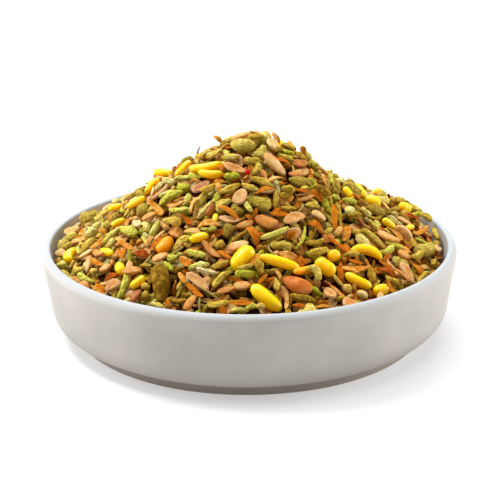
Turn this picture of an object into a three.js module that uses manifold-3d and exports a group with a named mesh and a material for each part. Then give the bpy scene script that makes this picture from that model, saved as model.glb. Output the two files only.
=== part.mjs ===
// A shallow stoneware bowl heaped with mukhwas, the after-meal mix of fennel, sugar-coated
// fennel, split coriander and melon seeds. The bowl is one turned solid. The mix is one heap:
// a core that fills the bowl and rises above it, with the seeds that show fused on.
// Millimetres, +Z up, origin at the centre of the foot ring's resting face.

import * as THREE from "three";
import { mergeVertices } from "three/addons/utils/BufferGeometryUtils.js";
import Module from "manifold-3d";

const wasm = await Module();
wasm.setup();

// Driving dimensions of the bowl
const RIM_RADIUS = 55; // outside of the lip
const BOWL_HEIGHT = 24;
const WALL = 2.4; // at the lip and up the side
const LIP_DROP = 2; // how far the lip's rounding comes down the outside
const FOOT_RADIUS = 46.7; // outside of the foot ring
const FOOT_WIDTH = 4.5;
const FOOT_HEIGHT = 3.4;
const RECESS_DEPTH = 1.6; // of the underside within the foot ring
const BASE_RADIUS = 48.2; // where the body starts, a step outside the foot
const SHOULDER_RADIUS = 53.1; // where the lower curve meets the straight side
const SHOULDER_HEIGHT = 9.2;
const FLOOR_HEIGHT = 5.2; // of the inside floor
const FLOOR_RADIUS = 43; // where the floor turns up into the wall
const INNER_SHOULDER_HEIGHT = 11;
const BOWL_SIDES = 60;

// Driving dimensions of the heap
const CLEARANCE = 0.4; // between the mix and the bowl
const FILL_HEIGHT = 21; // of the mix where it meets the wall
const HEAP_HEIGHT = 52.4; // of the heap's top before its swells
const CROWN_RADIUS = 5; // how round the top of the cone is
const CORE_DEPTH = 1.9; // how far the core lies below the seeds' mean surface
const CORE_SIDES = 24;
const CORE_RINGS = 7;
const RIPPLE_HEIGHT = 0.5; // unevenness of the core
const RIPPLE_LENGTH = 17;
const SEED_COUNT = 300;
const SEED_TILT = 0.35; // radians a seed may lean out of the slope
const SEED_LIFT = 0.48; // share of a seed's thickness by which its centre stands above the core
const RANDOM_SEED = 20261127;

// Gentle swells of the heap: where they are, how high they stand and how wide they spread
const SWELLS = [
  { x: 9, y: 2, height: 2.2, spread: 8 },
  { x: -23, y: 4, height: 1.4, spread: 9 },
  { x: 44, y: 20, height: 4.2, spread: 12 },
  { x: 6, y: -38, height: 0.9, spread: 12 },
  { x: -12, y: 36, height: 1.0, spread: 12 },
  { x: -45, y: 18, height: 1.2, spread: 10 },
  { x: -33, y: 37, height: -1.2, spread: 10 },
];

// What is in the mix: real sizes, and how many of each in a hundred that show. A spindle is
// round about its length, and shoulder is the share of it that has the full width. A lens is a
// flat seed.
const SEED_KINDS = [
  { form: "lens", length: 9.4, width: 6.2, thickness: 2.8, share: 2 }, // pumpkin seed
  { form: "spindle", length: 9.4, width: 3.3, thickness: 3.3, shoulder: 0.75, share: 8 }, // candy stick
  { form: "spindle", length: 7.4, width: 2.1, thickness: 2.1, shoulder: 0.7, share: 9 }, // sugared fennel
  { form: "lens", length: 7.2, width: 4.4, thickness: 2.6, share: 8 }, // melon kernel
  { form: "spindle", length: 6.8, width: 2.6, thickness: 2.3, shoulder: 0.45, share: 36 }, // fennel
  { form: "lens", length: 6.2, width: 3.8, thickness: 1.5, share: 24 }, // split coriander
  { form: "spindle", length: 5.2, width: 3.9, thickness: 3.9, shoulder: 0.5, share: 5 }, // candy oval
  { form: "spindle", length: 3.5, width: 3.5, thickness: 3.5, shoulder: 0.5, share: 8 }, // candy ball
];
const SPINDLE_SIDES = 5;
const LENS_SIDES = 7;

// A stretch of a quarter or half ellipse as profile points, angles in quarter turns
function arc(centreX, centreY, radiusX, radiusY, from, to, steps) {
  return Array.from({ length: steps + 1 }, (_, i) => {
    const angle = (from + ((to - from) * i) / steps) * (Math.PI / 2);
    return new THREE.Vector2(centreX + radiusX * Math.cos(angle), centreY + radiusY * Math.sin(angle));
  });
}

// A solid of revolution about Z from a profile of (radius, height)
function turned(profile, sides) {
  return new THREE.LatheGeometry(profile, sides).rotateX(Math.PI / 2);
}

// The bowl's closed section: underside, foot ring, outside, lip, inside
function bowlProfile() {
  const lip = WALL / 2;
  const footInside = FOOT_RADIUS - FOOT_WIDTH;
  const curveWidth = SHOULDER_RADIUS - BASE_RADIUS;
  const curveHeight = SHOULDER_HEIGHT - FOOT_HEIGHT;
  return [
    new THREE.Vector2(0, RECESS_DEPTH),
    new THREE.Vector2(footInside, RECESS_DEPTH),
    new THREE.Vector2(footInside, 0),
    new THREE.Vector2(FOOT_RADIUS, 0),
    new THREE.Vector2(FOOT_RADIUS, FOOT_HEIGHT),
    ...arc(BASE_RADIUS, SHOULDER_HEIGHT, curveWidth, curveHeight, -1, 0, 4),
    ...arc(RIM_RADIUS - lip, BOWL_HEIGHT - LIP_DROP, lip, LIP_DROP, 0, 1, 3),
    ...arc(RIM_RADIUS - lip, BOWL_HEIGHT - lip, lip, lip, 4 / 3, 2, 2),
    ...insideProfile(0),
  ];
}

// The inside of the bowl from its straight wall down to the centre, moved in by a gap
function insideProfile(gap) {
  const radius = SHOULDER_RADIUS - WALL - gap;
  const floor = FLOOR_HEIGHT + gap;
  const curve = arc(
    FLOOR_RADIUS, INNER_SHOULDER_HEIGHT, radius - FLOOR_RADIUS, INNER_SHOULDER_HEIGHT - floor, 0, -1, 4,
  );
  return [...curve, new THREE.Vector2(0, floor)];
}

// Inner radius of the bowl's straight wall at a height
function wallRadius(z) {
  const top = BOWL_HEIGHT - WALL / 2;
  const share = (z - INNER_SHOULDER_HEIGHT) / (top - INNER_SHOULDER_HEIGHT);
  return SHOULDER_RADIUS - WALL + share * (RIM_RADIUS - SHOULDER_RADIUS);
}

// Where the core's edge, the lowest line of its surface, stays clear of the wall
const FILL_RADIUS = wallRadius(FILL_HEIGHT - CORE_DEPTH - RIPPLE_HEIGHT) - CLEARANCE;

// Mean surface of the heap: a cone with a round crown, and its swells
function heapHeight(x, y) {
  const fromCrown = (r) => Math.hypot(r, CROWN_RADIUS) - CROWN_RADIUS;
  const share = 1 - fromCrown(Math.hypot(x, y)) / fromCrown(FILL_RADIUS);
  const swell = SWELLS.reduce(
    (sum, s) => sum + s.height * Math.exp(-((x - s.x) ** 2 + (y - s.y) ** 2) / s.spread ** 2), 0,
  );
  return FILL_HEIGHT + (HEAP_HEIGHT - FILL_HEIGHT) * share + swell;
}

// The core's surface under the seeds, with a slow ripple
function coreHeight(x, y) {
  const k = (2 * Math.PI) / RIPPLE_LENGTH;
  const ripple = RIPPLE_HEIGHT * Math.sin(k * x + 1) * Math.sin(k * y + 2);
  return heapHeight(x, y) - CORE_DEPTH + ripple;
}

// Outward normal of the core's surface
function coreNormal(x, y) {
  const step = 0.5;
  const slopeX = (coreHeight(x + step, y) - coreHeight(x - step, y)) / (2 * step);
  const slopeY = (coreHeight(x, y + step) - coreHeight(x, y - step)) / (2 * step);
  return new THREE.Vector3(-slopeX, -slopeY, 1).normalize();
}

// The bare core: a turned solid whose top is then lifted to the core's surface
function coreGeometry() {
  const lower = insideProfile(CLEARANCE).reverse();
  const top = Array.from(
    { length: CORE_RINGS + 1 },
    (_, i) => new THREE.Vector2(FILL_RADIUS * (1 - i / CORE_RINGS), FILL_HEIGHT),
  );
  const geometry = turned([...lower, ...top], CORE_SIDES);
  const position = geometry.attributes.position;
  for (let i = 0; i < position.count; i++) {
    if (position.getZ(i) > FILL_HEIGHT - 0.001) {
      position.setZ(i, coreHeight(position.getX(i), position.getY(i)));
    }
  }
  return geometry;
}

// A seed that is round about its length, which lies along X
function spindle({ length, width, thickness, shoulder }) {
  const profile = [
    new THREE.Vector2(0, -1),
    new THREE.Vector2(1, -shoulder),
    new THREE.Vector2(1, shoulder),
    new THREE.Vector2(0, 1),
  ];
  return turned(profile, SPINDLE_SIDES)
    .rotateY(Math.PI / 2)
    .scale(length / 2, width / 2, thickness / 2);
}

// A flat seed: a disc that thins to its edge, drawn out along X
function lens({ length, width, thickness }) {
  const profile = [new THREE.Vector2(0, -1), new THREE.Vector2(1, 0), new THREE.Vector2(0, 1)];
  return turned(profile, LENS_SIDES).scale(length / 2, width / 2, thickness / 2);
}

// A repeatable random number from 0 to 1
function makeRandom(seed) {
  let state = seed;
  return () => {
    state = (state * 1664525 + 1013904223) % 4294967296;
    return state / 4294967296;
  };
}

// The kind of the seed with this number: a steady rotation keeps every kind evenly spread
function kindOf(number) {
  const total = SEED_KINDS.reduce((sum, kind) => sum + kind.share, 0);
  let place = (((number + 1) * Math.SQRT2) % 1) * total;
  return SEED_KINDS.find((kind) => (place -= kind.share) < 0);
}

// How far a seed has to move towards the axis to stay clear of the bowl
function reachPastWall(geometry) {
  const position = geometry.attributes.position;
  let excess = 0;
  for (let i = 0; i < position.count; i++) {
    const radius = Math.hypot(position.getX(i), position.getY(i));
    excess = Math.max(excess, radius - (wallRadius(position.getZ(i)) - CLEARANCE));
  }
  return excess;
}

// Lays a seed on the core at (x, y), flat on the slope but for a lean, its long axis turned freely
function laySeed(kind, x, y, random) {
  const geometry = kind.form === "lens" ? lens(kind) : spindle(kind);
  const turn = new THREE.Quaternion().setFromAxisAngle(new THREE.Vector3(0, 0, 1), 2 * Math.PI * random());
  const leanAxis = new THREE.Vector3(0, 1, 0);
  const lean = new THREE.Quaternion().setFromAxisAngle(leanAxis, SEED_TILT * (2 * random() - 1));
  const slope = new THREE.Quaternion().setFromUnitVectors(new THREE.Vector3(0, 0, 1), coreNormal(x, y));
  geometry.applyQuaternion(slope.multiply(turn).multiply(lean));
  geometry.translate(x, y, coreHeight(x, y) + kind.thickness * SEED_LIFT);
  return geometry;
}

// All the seeds that show, evenly spaced on a sunflower spiral
function seedGeometries() {
  const random = makeRandom(RANDOM_SEED);
  const goldenAngle = Math.PI * (3 - Math.sqrt(5));
  const seeds = [];
  for (let number = 0; number < SEED_COUNT; number++) {
    const kind = kindOf(number);
    const radius = (FILL_RADIUS - kind.width / 2) * Math.sqrt((number + 0.5) / SEED_COUNT);
    const angle = number * goldenAngle;
    const geometry = laySeed(kind, radius * Math.cos(angle), radius * Math.sin(angle), random);
    const inwards = reachPastWall(geometry);
    geometry.translate(-inwards * Math.cos(angle), -inwards * Math.sin(angle), 0);
    if (reachPastWall(geometry) <= 0.01) seeds.push(geometry);
  }
  return seeds;
}

// A closed geometry as a solid that can be joined to others
function solidOf(geometry) {
  const bare = geometry.clone();
  bare.deleteAttribute("normal");
  bare.deleteAttribute("uv");
  const merged = mergeVertices(bare, 1e-4);
  return new wasm.Manifold(
    new wasm.Mesh({
      numProp: 3,
      vertProperties: merged.attributes.position.array,
      triVerts: new Uint32Array(merged.index.array),
    }),
  );
}

// A solid back as a geometry
function geometryOf(solid) {
  const mesh = solid.getMesh();
  return new THREE.BufferGeometry()
    .setAttribute("position", new THREE.BufferAttribute(mesh.vertProperties, 3))
    .setIndex(new THREE.BufferAttribute(mesh.triVerts, 1));
}

// Core and seeds as one body: sealed hollows and loose scraps are left out
function heapGeometry() {
  const joined = seedGeometries().reduce((heap, seed) => heap.add(solidOf(seed)), solidOf(coreGeometry()));
  const bodies = joined.decompose().sort((a, b) => b.volume() - a.volume());
  return geometryOf(bodies[0]);
}

function namedMesh(name, geometry, material) {
  const mesh = new THREE.Mesh(geometry, material);
  mesh.name = name;
  return mesh;
}

const stoneware = new THREE.MeshStandardMaterial({ color: 0xd9d6d0, roughness: 0.55, metalness: 0 });
const mukhwas = new THREE.MeshStandardMaterial({ color: 0x9a8430, roughness: 0.6, metalness: 0 });

const bowlOfMukhwas = new THREE.Group();
bowlOfMukhwas.add(namedMesh("bowl", turned(bowlProfile(), BOWL_SIDES), stoneware));
bowlOfMukhwas.add(namedMesh("mukhwas", heapGeometry(), mukhwas));

export default bowlOfMukhwas;
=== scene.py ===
# %% [markdown]
# Bowl of mukhwas
# Mukhwas is the mix of fennel, sugar-coated fennel, split coriander and melon seeds that is passed
# round after a meal. Here it is heaped in a shallow stoneware bowl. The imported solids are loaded
# first as a fixed frame: a bowl, and a plain heap that this lesson replaces with real seeds.

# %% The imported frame
import math
from collections import namedtuple

import bmesh
import bpy
import numpy as np
from mathutils import Matrix, Vector


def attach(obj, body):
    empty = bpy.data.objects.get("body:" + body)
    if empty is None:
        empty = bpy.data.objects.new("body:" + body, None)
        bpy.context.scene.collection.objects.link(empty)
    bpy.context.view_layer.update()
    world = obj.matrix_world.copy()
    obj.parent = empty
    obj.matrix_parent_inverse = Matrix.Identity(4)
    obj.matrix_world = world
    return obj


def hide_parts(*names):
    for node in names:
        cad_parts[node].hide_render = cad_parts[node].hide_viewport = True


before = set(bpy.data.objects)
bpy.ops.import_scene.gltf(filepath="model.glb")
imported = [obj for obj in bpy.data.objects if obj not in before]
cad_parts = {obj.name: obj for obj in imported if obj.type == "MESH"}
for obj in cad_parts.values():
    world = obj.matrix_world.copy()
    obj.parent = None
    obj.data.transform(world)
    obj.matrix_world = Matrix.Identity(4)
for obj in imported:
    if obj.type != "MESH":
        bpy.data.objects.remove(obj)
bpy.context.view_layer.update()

# %% [markdown]
# Units and small helpers
# All drawing is in millimetres, as a potter or cook would measure, and is turned to Blender's metres
# at the moment a mesh is made. Colours are read off as sRGB hex values, and shaders need linear
# light, so one function converts them. One more function adds a shader node with its settings and
# its links, so that each material below reads as a short list.

# %% Helpers
MM = 0.001
FACTOR, FIRST, SECOND, MIXED = 0, 6, 7, 2  # sockets of a Mix node that mixes colours


def linear(hex_colour):
    """An sRGB hex colour as linear red, green, blue and alpha."""
    shares = [int(hex_colour[i:i + 2], 16) / 255 for i in (1, 3, 5)]
    return tuple(s / 12.92 if s <= 0.04045 else ((s + 0.055) / 1.055) ** 2.4 for s in shares) + (1.0,)


def add_node(tree, kind, settings=None, inputs=None, stops=None):
    """Adds a node. An input takes a value, or a socket to link from. Stops are a ramp's colours."""
    node = tree.nodes.new(kind)
    for name, value in (settings or {}).items():
        setattr(node, name, value)
    for name, value in (inputs or {}).items():
        if isinstance(value, bpy.types.NodeSocket):
            tree.links.new(value, node.inputs[name])
        else:
            node.inputs[name].default_value = value
    for number, (place, colour) in enumerate(stops or []):
        ramp = node.color_ramp.elements
        stop = ramp[number] if number < 2 else ramp.new(place)  # a new ramp has two stops
        stop.position = place
        stop.color = colour
    return node


def new_material(name):
    """An empty material with its shader and output, as (material, tree, shader)."""
    material = bpy.data.materials.new(name)
    material.use_nodes = True
    tree = material.node_tree
    return material, tree, tree.nodes["Principled BSDF"]


def finish_piece(mesh, name, materials, node):
    """Makes a mesh a piece of the model that stands for a CAD node."""
    piece = bpy.data.objects.new(name, mesh)
    bpy.context.scene.collection.objects.link(piece)
    for material in materials:
        mesh.materials.append(material)
    mesh.shade_smooth()
    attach(piece, "root")
    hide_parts(node)
    triangles = sum(len(face.vertices) - 2 for face in mesh.polygons)
    print(f"{name}: {triangles} triangles")


print("mid grey in linear light:", round(linear("#808080")[0], 3))

# %% [markdown]
# The camera
# The photograph looks down at the bowl by about twenty degrees, from a distance with a long lens, so
# the rim is a flat ellipse. The lens and the place below come from fitting the ellipses of rim, lip
# and foot. The camera is set before the seeds, because some seeds are laid where the photograph
# shows them, and that needs a ray from the camera through a pixel.

# %% Camera
PHOTO_SIDE = 500  # pixels
FOCAL_PIXELS = 1489.0  # the lens, in pixels of the photograph
VIEW_DISTANCE = 400.0  # mm
VIEW_ELEVATION = math.radians(20.72)
AIM_HEIGHT = 15.0  # mm up the bowl's axis
AIM_PIXEL = (249.2, 269.9)  # where that point of the axis lies in the picture
SENSOR = 36.0
NEAREST = 0.01  # metres from the eye, within which nothing is drawn
ROLL = math.radians(0.4)  # the photograph is not quite level

eye = np.array([
    0.0,
    -VIEW_DISTANCE * math.cos(VIEW_ELEVATION),
    AIM_HEIGHT + VIEW_DISTANCE * math.sin(VIEW_ELEVATION),
])
tilt_up = math.atan((AIM_PIXEL[1] - PHOTO_SIDE / 2) / FOCAL_PIXELS)
turn_right = math.atan((PHOTO_SIDE / 2 - AIM_PIXEL[0]) / FOCAL_PIXELS)

camera_data = bpy.data.cameras.new("camera")
camera_data.sensor_width = SENSOR
camera_data.lens = FOCAL_PIXELS / PHOTO_SIDE * SENSOR
camera_data.clip_start = NEAREST
camera = bpy.data.objects.new("camera", camera_data)
camera.location = Vector(eye * MM)
looking_down = Matrix.Rotation(math.pi / 2 - VIEW_ELEVATION + tilt_up, 3, "X")
aim = Matrix.Rotation(-turn_right, 3, "Z") @ looking_down
camera.rotation_euler = (aim @ Matrix.Rotation(-ROLL, 3, "Z")).to_euler()
bpy.context.scene.collection.objects.link(camera)
bpy.context.scene.camera = camera

turned = np.array(camera.rotation_euler.to_matrix())
camera_right, camera_up, camera_back = turned[:, 0], turned[:, 1], turned[:, 2]
print(f"camera: lens {camera_data.lens:.1f} mm, eye at {np.round(eye, 1)} mm")

# %% [markdown]
# The bowl
# A potter throws such a bowl on a wheel, so its shape is one profile turned about the axis: a recess
# under the base, a foot ring, a rounded lower edge, a straight side that flares a little, a round lip,
# and the inside. A Screw modifier could do it, but the spin operator gives a plain closed mesh whose
# faces can then be sorted by finish.

# %% Bowl profile
RIM_RADIUS = 55.0
BOWL_HEIGHT = 24.0
WALL = 2.4
LIP_DROP = 2.0  # how far the lip's rounding comes down the outside
LIP_WIDTH = 1.8  # how far it reaches in across the top, where a tighter rounding starts
FOOT_RADIUS = 46.7
FOOT_WIDTH = 4.5
FOOT_HEIGHT = 3.4
FOOT_ROUND = 0.6
RECESS_DEPTH = 1.6
BASE_RADIUS = 48.2
SHOULDER_RADIUS = 53.1
SHOULDER_HEIGHT = 9.2
FLOOR_HEIGHT = 5.2
FLOOR_RADIUS = 43.0
INNER_SHOULDER_HEIGHT = 11.0
EDGE_STEPS, LIP_STEPS, SHOULDER_STEPS = 4, 8, 10  # faces on a small edge, the lip and a shoulder


def arc(centre_r, centre_z, radius_r, radius_z, start, end, steps):
    """Profile points on part of an ellipse, its angles in quarter turns."""
    angles = np.linspace(start, end, steps + 1) * math.pi / 2
    return [(centre_r + radius_r * math.cos(a), centre_z + radius_z * math.sin(a)) for a in angles]


lip_inside = WALL - LIP_WIDTH
foot_inside = FOOT_RADIUS - FOOT_WIDTH
bowl_profile = (
    [(0.0, RECESS_DEPTH), (foot_inside - FOOT_ROUND, RECESS_DEPTH)]
    + arc(foot_inside + FOOT_ROUND, FOOT_ROUND, FOOT_ROUND, FOOT_ROUND, 2, 3, EDGE_STEPS)
    + arc(FOOT_RADIUS - FOOT_ROUND, FOOT_ROUND, FOOT_ROUND, FOOT_ROUND, -1, 0, EDGE_STEPS)
    + arc(BASE_RADIUS, FOOT_HEIGHT - FOOT_ROUND, BASE_RADIUS - FOOT_RADIUS, FOOT_ROUND,
          2, 1, EDGE_STEPS)[:-1]
    + arc(BASE_RADIUS, SHOULDER_HEIGHT, SHOULDER_RADIUS - BASE_RADIUS, SHOULDER_HEIGHT - FOOT_HEIGHT,
          -1, 0, SHOULDER_STEPS)
    + arc(RIM_RADIUS - LIP_WIDTH, BOWL_HEIGHT - LIP_DROP, LIP_WIDTH, LIP_DROP, 0, 1, LIP_STEPS)
    + arc(RIM_RADIUS - LIP_WIDTH, BOWL_HEIGHT - lip_inside, lip_inside, lip_inside, 1, 2, EDGE_STEPS)[1:]
    + arc(FLOOR_RADIUS, INNER_SHOULDER_HEIGHT, SHOULDER_RADIUS - WALL - FLOOR_RADIUS,
          INNER_SHOULDER_HEIGHT - FLOOR_HEIGHT, 0, -1, SHOULDER_STEPS)
    + [(0.0, FLOOR_HEIGHT)]
)
print(f"bowl profile: {len(bowl_profile)} points")

# %% Spinning a profile
SAME_PLACE = 1e-6  # metres between points that are merged


def spun(profile, steps):
    """A closed bmesh from a profile of (radius, height) in mm, spun about the upright axis."""
    shape = bmesh.new()
    line = [shape.verts.new((r * MM, 0.0, z * MM)) for r, z in profile]
    edges = [shape.edges.new(pair) for pair in zip(line[:-1], line[1:])]
    bmesh.ops.spin(shape, geom=line + edges, cent=(0, 0, 0), axis=(0, 0, 1), dvec=(0, 0, 0),
                   angle=2 * math.pi, steps=steps, use_merge=True, use_duplicate=False)
    bmesh.ops.remove_doubles(shape, verts=shape.verts[:], dist=SAME_PLACE)
    bmesh.ops.recalc_face_normals(shape, faces=shape.faces[:])
    return shape


BOWL_STEPS = 160
bowl_shape = spun(bowl_profile, BOWL_STEPS)
print(f"bowl: {len(bowl_shape.faces)} faces")

# %% [markdown]
# The bowl's finishes
# The outside is a matte off-white glaze over stoneware: warm, chalky, with hardly any gloss and a
# faint cloudiness where the glaze is thicker. Just above the foot it is painted darker: painted shade
# where the lower curve turns from the light. Over the lip it turns cooler and greyer towards the inside,
# and the lip's top is painted darker than the glaze, as shade. The inside is a cool grey glaze, painted
# bluer still to offset the warm light that the seeds throw on it. These changes follow the profile, so
# no texture is needed for them: each point carries how far inside it is and how near to the foot. The
# foot is bare fired clay, browner and rougher, because glaze would stick to the shelf of the kiln.

# %% Bowl finishes
CLOUD_SIZE = 14.0  # mm across a cloud in the glaze
GRIT_SIZE = 0.5  # mm, coarser than real grit so that it still shows
GRIT_RELIEF = 0.1  # mm
EDGE_BLEND = 5.0  # how fast the lip's colours take over from the outside's
FIRED_IOR = 1.5  # of a glassy glaze


def fired_surface(name, thin, thick, lip_shaded_tone, inner, low, roughness, grit):
    """A ceramic: two near colours in clouds, others on lip and inside, painted shade by the foot, a fine
    grit.
    """
    material, tree, shader = new_material(name)
    place = add_node(tree, "ShaderNodeTexCoord")
    clouds = add_node(tree, "ShaderNodeTexNoise", inputs={
        "Vector": place.outputs["Object"], "Scale": 1 / (CLOUD_SIZE * MM), "Detail": 3.0})
    colour = add_node(tree, "ShaderNodeValToRGB", inputs={"Fac": clouds.outputs["Fac"]},
                      stops=[(0.3, linear(thin)), (0.7, linear(thick))])
    inside = add_node(tree, "ShaderNodeAttribute", settings={"attribute_name": "inside"})
    # painted shade: the lip's top is darker than the glaze; the inside is painted bluer against the seeds'
    # warm bounce light
    over_lip = add_node(tree, "ShaderNodeValToRGB", inputs={"Fac": inside.outputs["Fac"]}, stops=[
        (0.0, linear(thick)), (1.0, linear(inner)), (0.35, linear(lip_shaded_tone)), (0.6, linear(lip_shaded_tone))])
    past_edge = add_node(tree, "ShaderNodeMath", settings={"operation": "MULTIPLY", "use_clamp": True},
                         inputs={0: inside.outputs["Fac"], 1: EDGE_BLEND})
    blend = add_node(tree, "ShaderNodeMix", settings={"data_type": "RGBA"}, inputs={
        FACTOR: past_edge.outputs["Value"], FIRST: colour.outputs["Color"],
        SECOND: over_lip.outputs["Color"]})
    # painted shade: the glaze turns darker towards the foot
    painted_foot_shade = add_node(tree, "ShaderNodeAttribute", settings={"attribute_name": "painted_foot_shade"})
    foot_shaded = add_node(tree, "ShaderNodeMix", settings={"data_type": "RGBA"}, inputs={
        FACTOR: painted_foot_shade.outputs["Fac"], FIRST: blend.outputs[MIXED], SECOND: linear(low)})
    tree.links.new(foot_shaded.outputs[MIXED], shader.inputs["Base Color"])
    grain = add_node(tree, "ShaderNodeTexNoise", inputs={
        "Vector": place.outputs["Object"], "Scale": 1 / (GRIT_SIZE * MM), "Detail": 2.0})
    relief = add_node(tree, "ShaderNodeBump", inputs={
        "Height": grain.outputs["Fac"], "Strength": grit, "Distance": GRIT_RELIEF * MM})
    tree.links.new(relief.outputs["Normal"], shader.inputs["Normal"])
    shader.inputs["Roughness"].default_value = roughness
    shader.inputs["IOR"].default_value = FIRED_IOR
    return material


# a soft sheen that spreads wide, and warm greys; painted shade on the lip's top and by the foot
matte_glaze = fired_surface(
    "matte_stoneware_glaze", thin="#ACA79F", thick="#BAB5AE", lip_shaded_tone="#A9ACAD", inner="#AAC6EA",
    low="#908A82", roughness=0.6, grit=0.25)
# no sheen at all, and a gritty brown-grey
bare_clay = fired_surface(
    "bare_fired_clay", thin="#968C80", thick="#A0968A", lip_shaded_tone="#968C80", inner="#968C80",
    low="#968C80", roughness=0.85, grit=0.5)
print("bowl finishes:", matte_glaze.name, bare_clay.name)

# %% Bowl piece
HAIR = 0.05  # mm, to stay clear of an edge
FOOT_SHADE_HEIGHT = 9.0  # mm above the foot over which the glaze is painted darker, as shade
FOOT_SHADE_CURVE = 1.5  # above 1 the change is quickest by the foot

for face in bowl_shape.faces:
    middle = face.calc_center_median()
    low_down = middle.z / MM < FOOT_HEIGHT - HAIR
    face.material_index = 1 if low_down and math.hypot(middle.x, middle.y) / MM < BASE_RADIUS else 0
bowl_mesh = bpy.data.meshes.new("stoneware_bowl")
bowl_shape.to_mesh(bowl_mesh)
bowl_shape.free()


def inside_share(point):
    """How far round the lip from outside to inside a point is, from 0 to 1."""
    radius, height = math.hypot(point.x, point.y) / MM, point.z / MM
    past_top = radius - RIM_RADIUS + LIP_WIDTH
    width, depth = (LIP_WIDTH, LIP_DROP) if past_top > 0 else (lip_inside, lip_inside)
    if height > BOWL_HEIGHT - depth:
        turn = math.atan2((height - BOWL_HEIGHT) / depth + 1, past_top / width)
        return min(1.0, max(0.0, turn / math.pi))
    return 1.0 if height > FLOOR_HEIGHT - HAIR and radius < SHOULDER_RADIUS - WALL / 2 else 0.0


shares = np.array([inside_share(vertex.co) for vertex in bowl_mesh.vertices])
heights = np.array([vertex.co.z / MM for vertex in bowl_mesh.vertices])
# painted shade: darker towards the foot, where the lower curve turns from the light
foot_shading = np.clip(1 - (heights - FOOT_HEIGHT) / FOOT_SHADE_HEIGHT, 0, 1) ** FOOT_SHADE_CURVE
for label, values in (("inside", shares), ("painted_foot_shade", np.where(shares > 0, 0.0, foot_shading))):
    attribute = bowl_mesh.attributes.new(label, "FLOAT", "POINT")
    attribute.data.foreach_set("value", values.astype(np.float32))
finish_piece(bowl_mesh, "stoneware_bowl", [matte_glaze, bare_clay], "bowl")

# %% [markdown]
# The heap's form
# Poured seeds settle into a cone at their angle of rest, with a round crown and a few gentle swells.
# The same named values as in the CAD heap give that surface here, so the seeds end up where the solid
# heap is.

# %% Heap surface
FILL_HEIGHT = 21.0
HEAP_HEIGHT = 52.4
CROWN_RADIUS = 5.0
FILL_RADIUS = 51.5
Swell = namedtuple("Swell", "x y height spread")
SWELLS = [
    Swell(9, 2, 2.2, 8), Swell(-23, 4, 1.4, 9), Swell(44, 20, 4.2, 12), Swell(6, -38, 0.9, 12),
    Swell(-12, 36, 1.0, 12), Swell(-45, 18, 1.2, 10), Swell(-33, 37, -1.2, 10),
]


def heap_height(x, y):
    """Height in mm of the heap's mean surface."""
    def from_crown(radius):
        return np.hypot(radius, CROWN_RADIUS) - CROWN_RADIUS

    share = 1 - from_crown(np.hypot(x, y)) / from_crown(FILL_RADIUS)
    height = FILL_HEIGHT + (HEAP_HEIGHT - FILL_HEIGHT) * share
    for swell in SWELLS:
        away = (x - swell.x) ** 2 + (y - swell.y) ** 2
        height = height + swell.height * np.exp(-away / swell.spread ** 2)
    return height


def heap_normal(x, y):
    """Outward normal of the heap's mean surface."""
    step = 0.5
    slope_x = (heap_height(x + step, y) - heap_height(x - step, y)) / (2 * step)
    slope_y = (heap_height(x, y + step) - heap_height(x, y - step)) / (2 * step)
    normal = np.array([-slope_x, -slope_y, 1.0])
    return normal / np.linalg.norm(normal)


print(f"heap: {heap_height(0, 0):.1f} mm at the middle, {heap_height(0, -FILL_RADIUS):.1f} mm at the wall")

# %% [markdown]
# The bed under the seeds
# Deep in the heap no seed can be told from another: all that reaches the eye is a dark gap between
# those on top. The whole bowl could be filled with seeds, at the cost of thousands that nobody sees.
# Instead one spun solid fills it to a few millimetres under the surface. Its top is lumpy and has the
# dark browns and olives of seeds in shade.

# %% Bed finish
LUMP_SIZE = 3.0  # mm, about a seed's width


def bed_material():
    """Seeds in deep shade: dark browns and olives in lumps of a seed's size, with no shine."""
    material, tree, shader = new_material("seeds_in_shade")
    place = add_node(tree, "ShaderNodeTexCoord")
    lumps = add_node(tree, "ShaderNodeTexVoronoi", inputs={
        "Vector": place.outputs["Object"], "Scale": 1 / (LUMP_SIZE * MM)})
    split = add_node(tree, "ShaderNodeSeparateColor", inputs={"Color": lumps.outputs["Color"]})
    colour = add_node(tree, "ShaderNodeValToRGB", inputs={"Fac": split.outputs["Red"]}, stops=[
        (0.0, linear("#2C1606")), (1.0, linear("#4A3410")), (0.5, linear("#46200A"))])
    tree.links.new(colour.outputs["Color"], shader.inputs["Base Color"])
    shader.inputs["Roughness"].default_value = 0.8
    shader.inputs["Specular IOR Level"].default_value = 0.0
    return material


seeds_in_shade = bed_material()
print("bed finish:", seeds_in_shade.name)

# %% Bed piece
WALL_RADIUS = 51.9  # inside of the bowl where the mix meets it
BED_GAP = 0.3  # between the bed and the bowl
BED_INSET = 1.0  # between the bed's upper edge and the wall
BED_DEPTH = 5.0  # below the heap's surface
BED_LUMP = 0.5  # how far its top rises and falls
BED_RINGS, BED_STEPS, BED_EDGE_STEPS = 40, 96, 6

bed_profile = (
    [(0.0, FLOOR_HEIGHT + BED_GAP)]
    + arc(FLOOR_RADIUS, INNER_SHOULDER_HEIGHT, SHOULDER_RADIUS - WALL - BED_GAP - FLOOR_RADIUS,
          INNER_SHOULDER_HEIGHT - FLOOR_HEIGHT - BED_GAP, -1, 0, BED_EDGE_STEPS)
    + [((WALL_RADIUS - BED_INSET) * (1 - ring / BED_RINGS), FILL_HEIGHT) for ring in range(BED_RINGS + 1)]
)
bed_shape = spun(bed_profile, BED_STEPS)
for vertex in bed_shape.verts:
    if vertex.co.z > (FILL_HEIGHT - HAIR) * MM:
        x, y = vertex.co.x / MM, vertex.co.y / MM
        lump = BED_LUMP * math.sin(2.1 * x + 0.7 * y) * math.sin(1.9 * y - 0.4 * x)
        vertex.co.z = (heap_height(x, y) - BED_DEPTH + lump) * MM
bed_mesh = bpy.data.meshes.new("mix_bed")
bed_shape.to_mesh(bed_mesh)
bed_shape.free()
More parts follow.
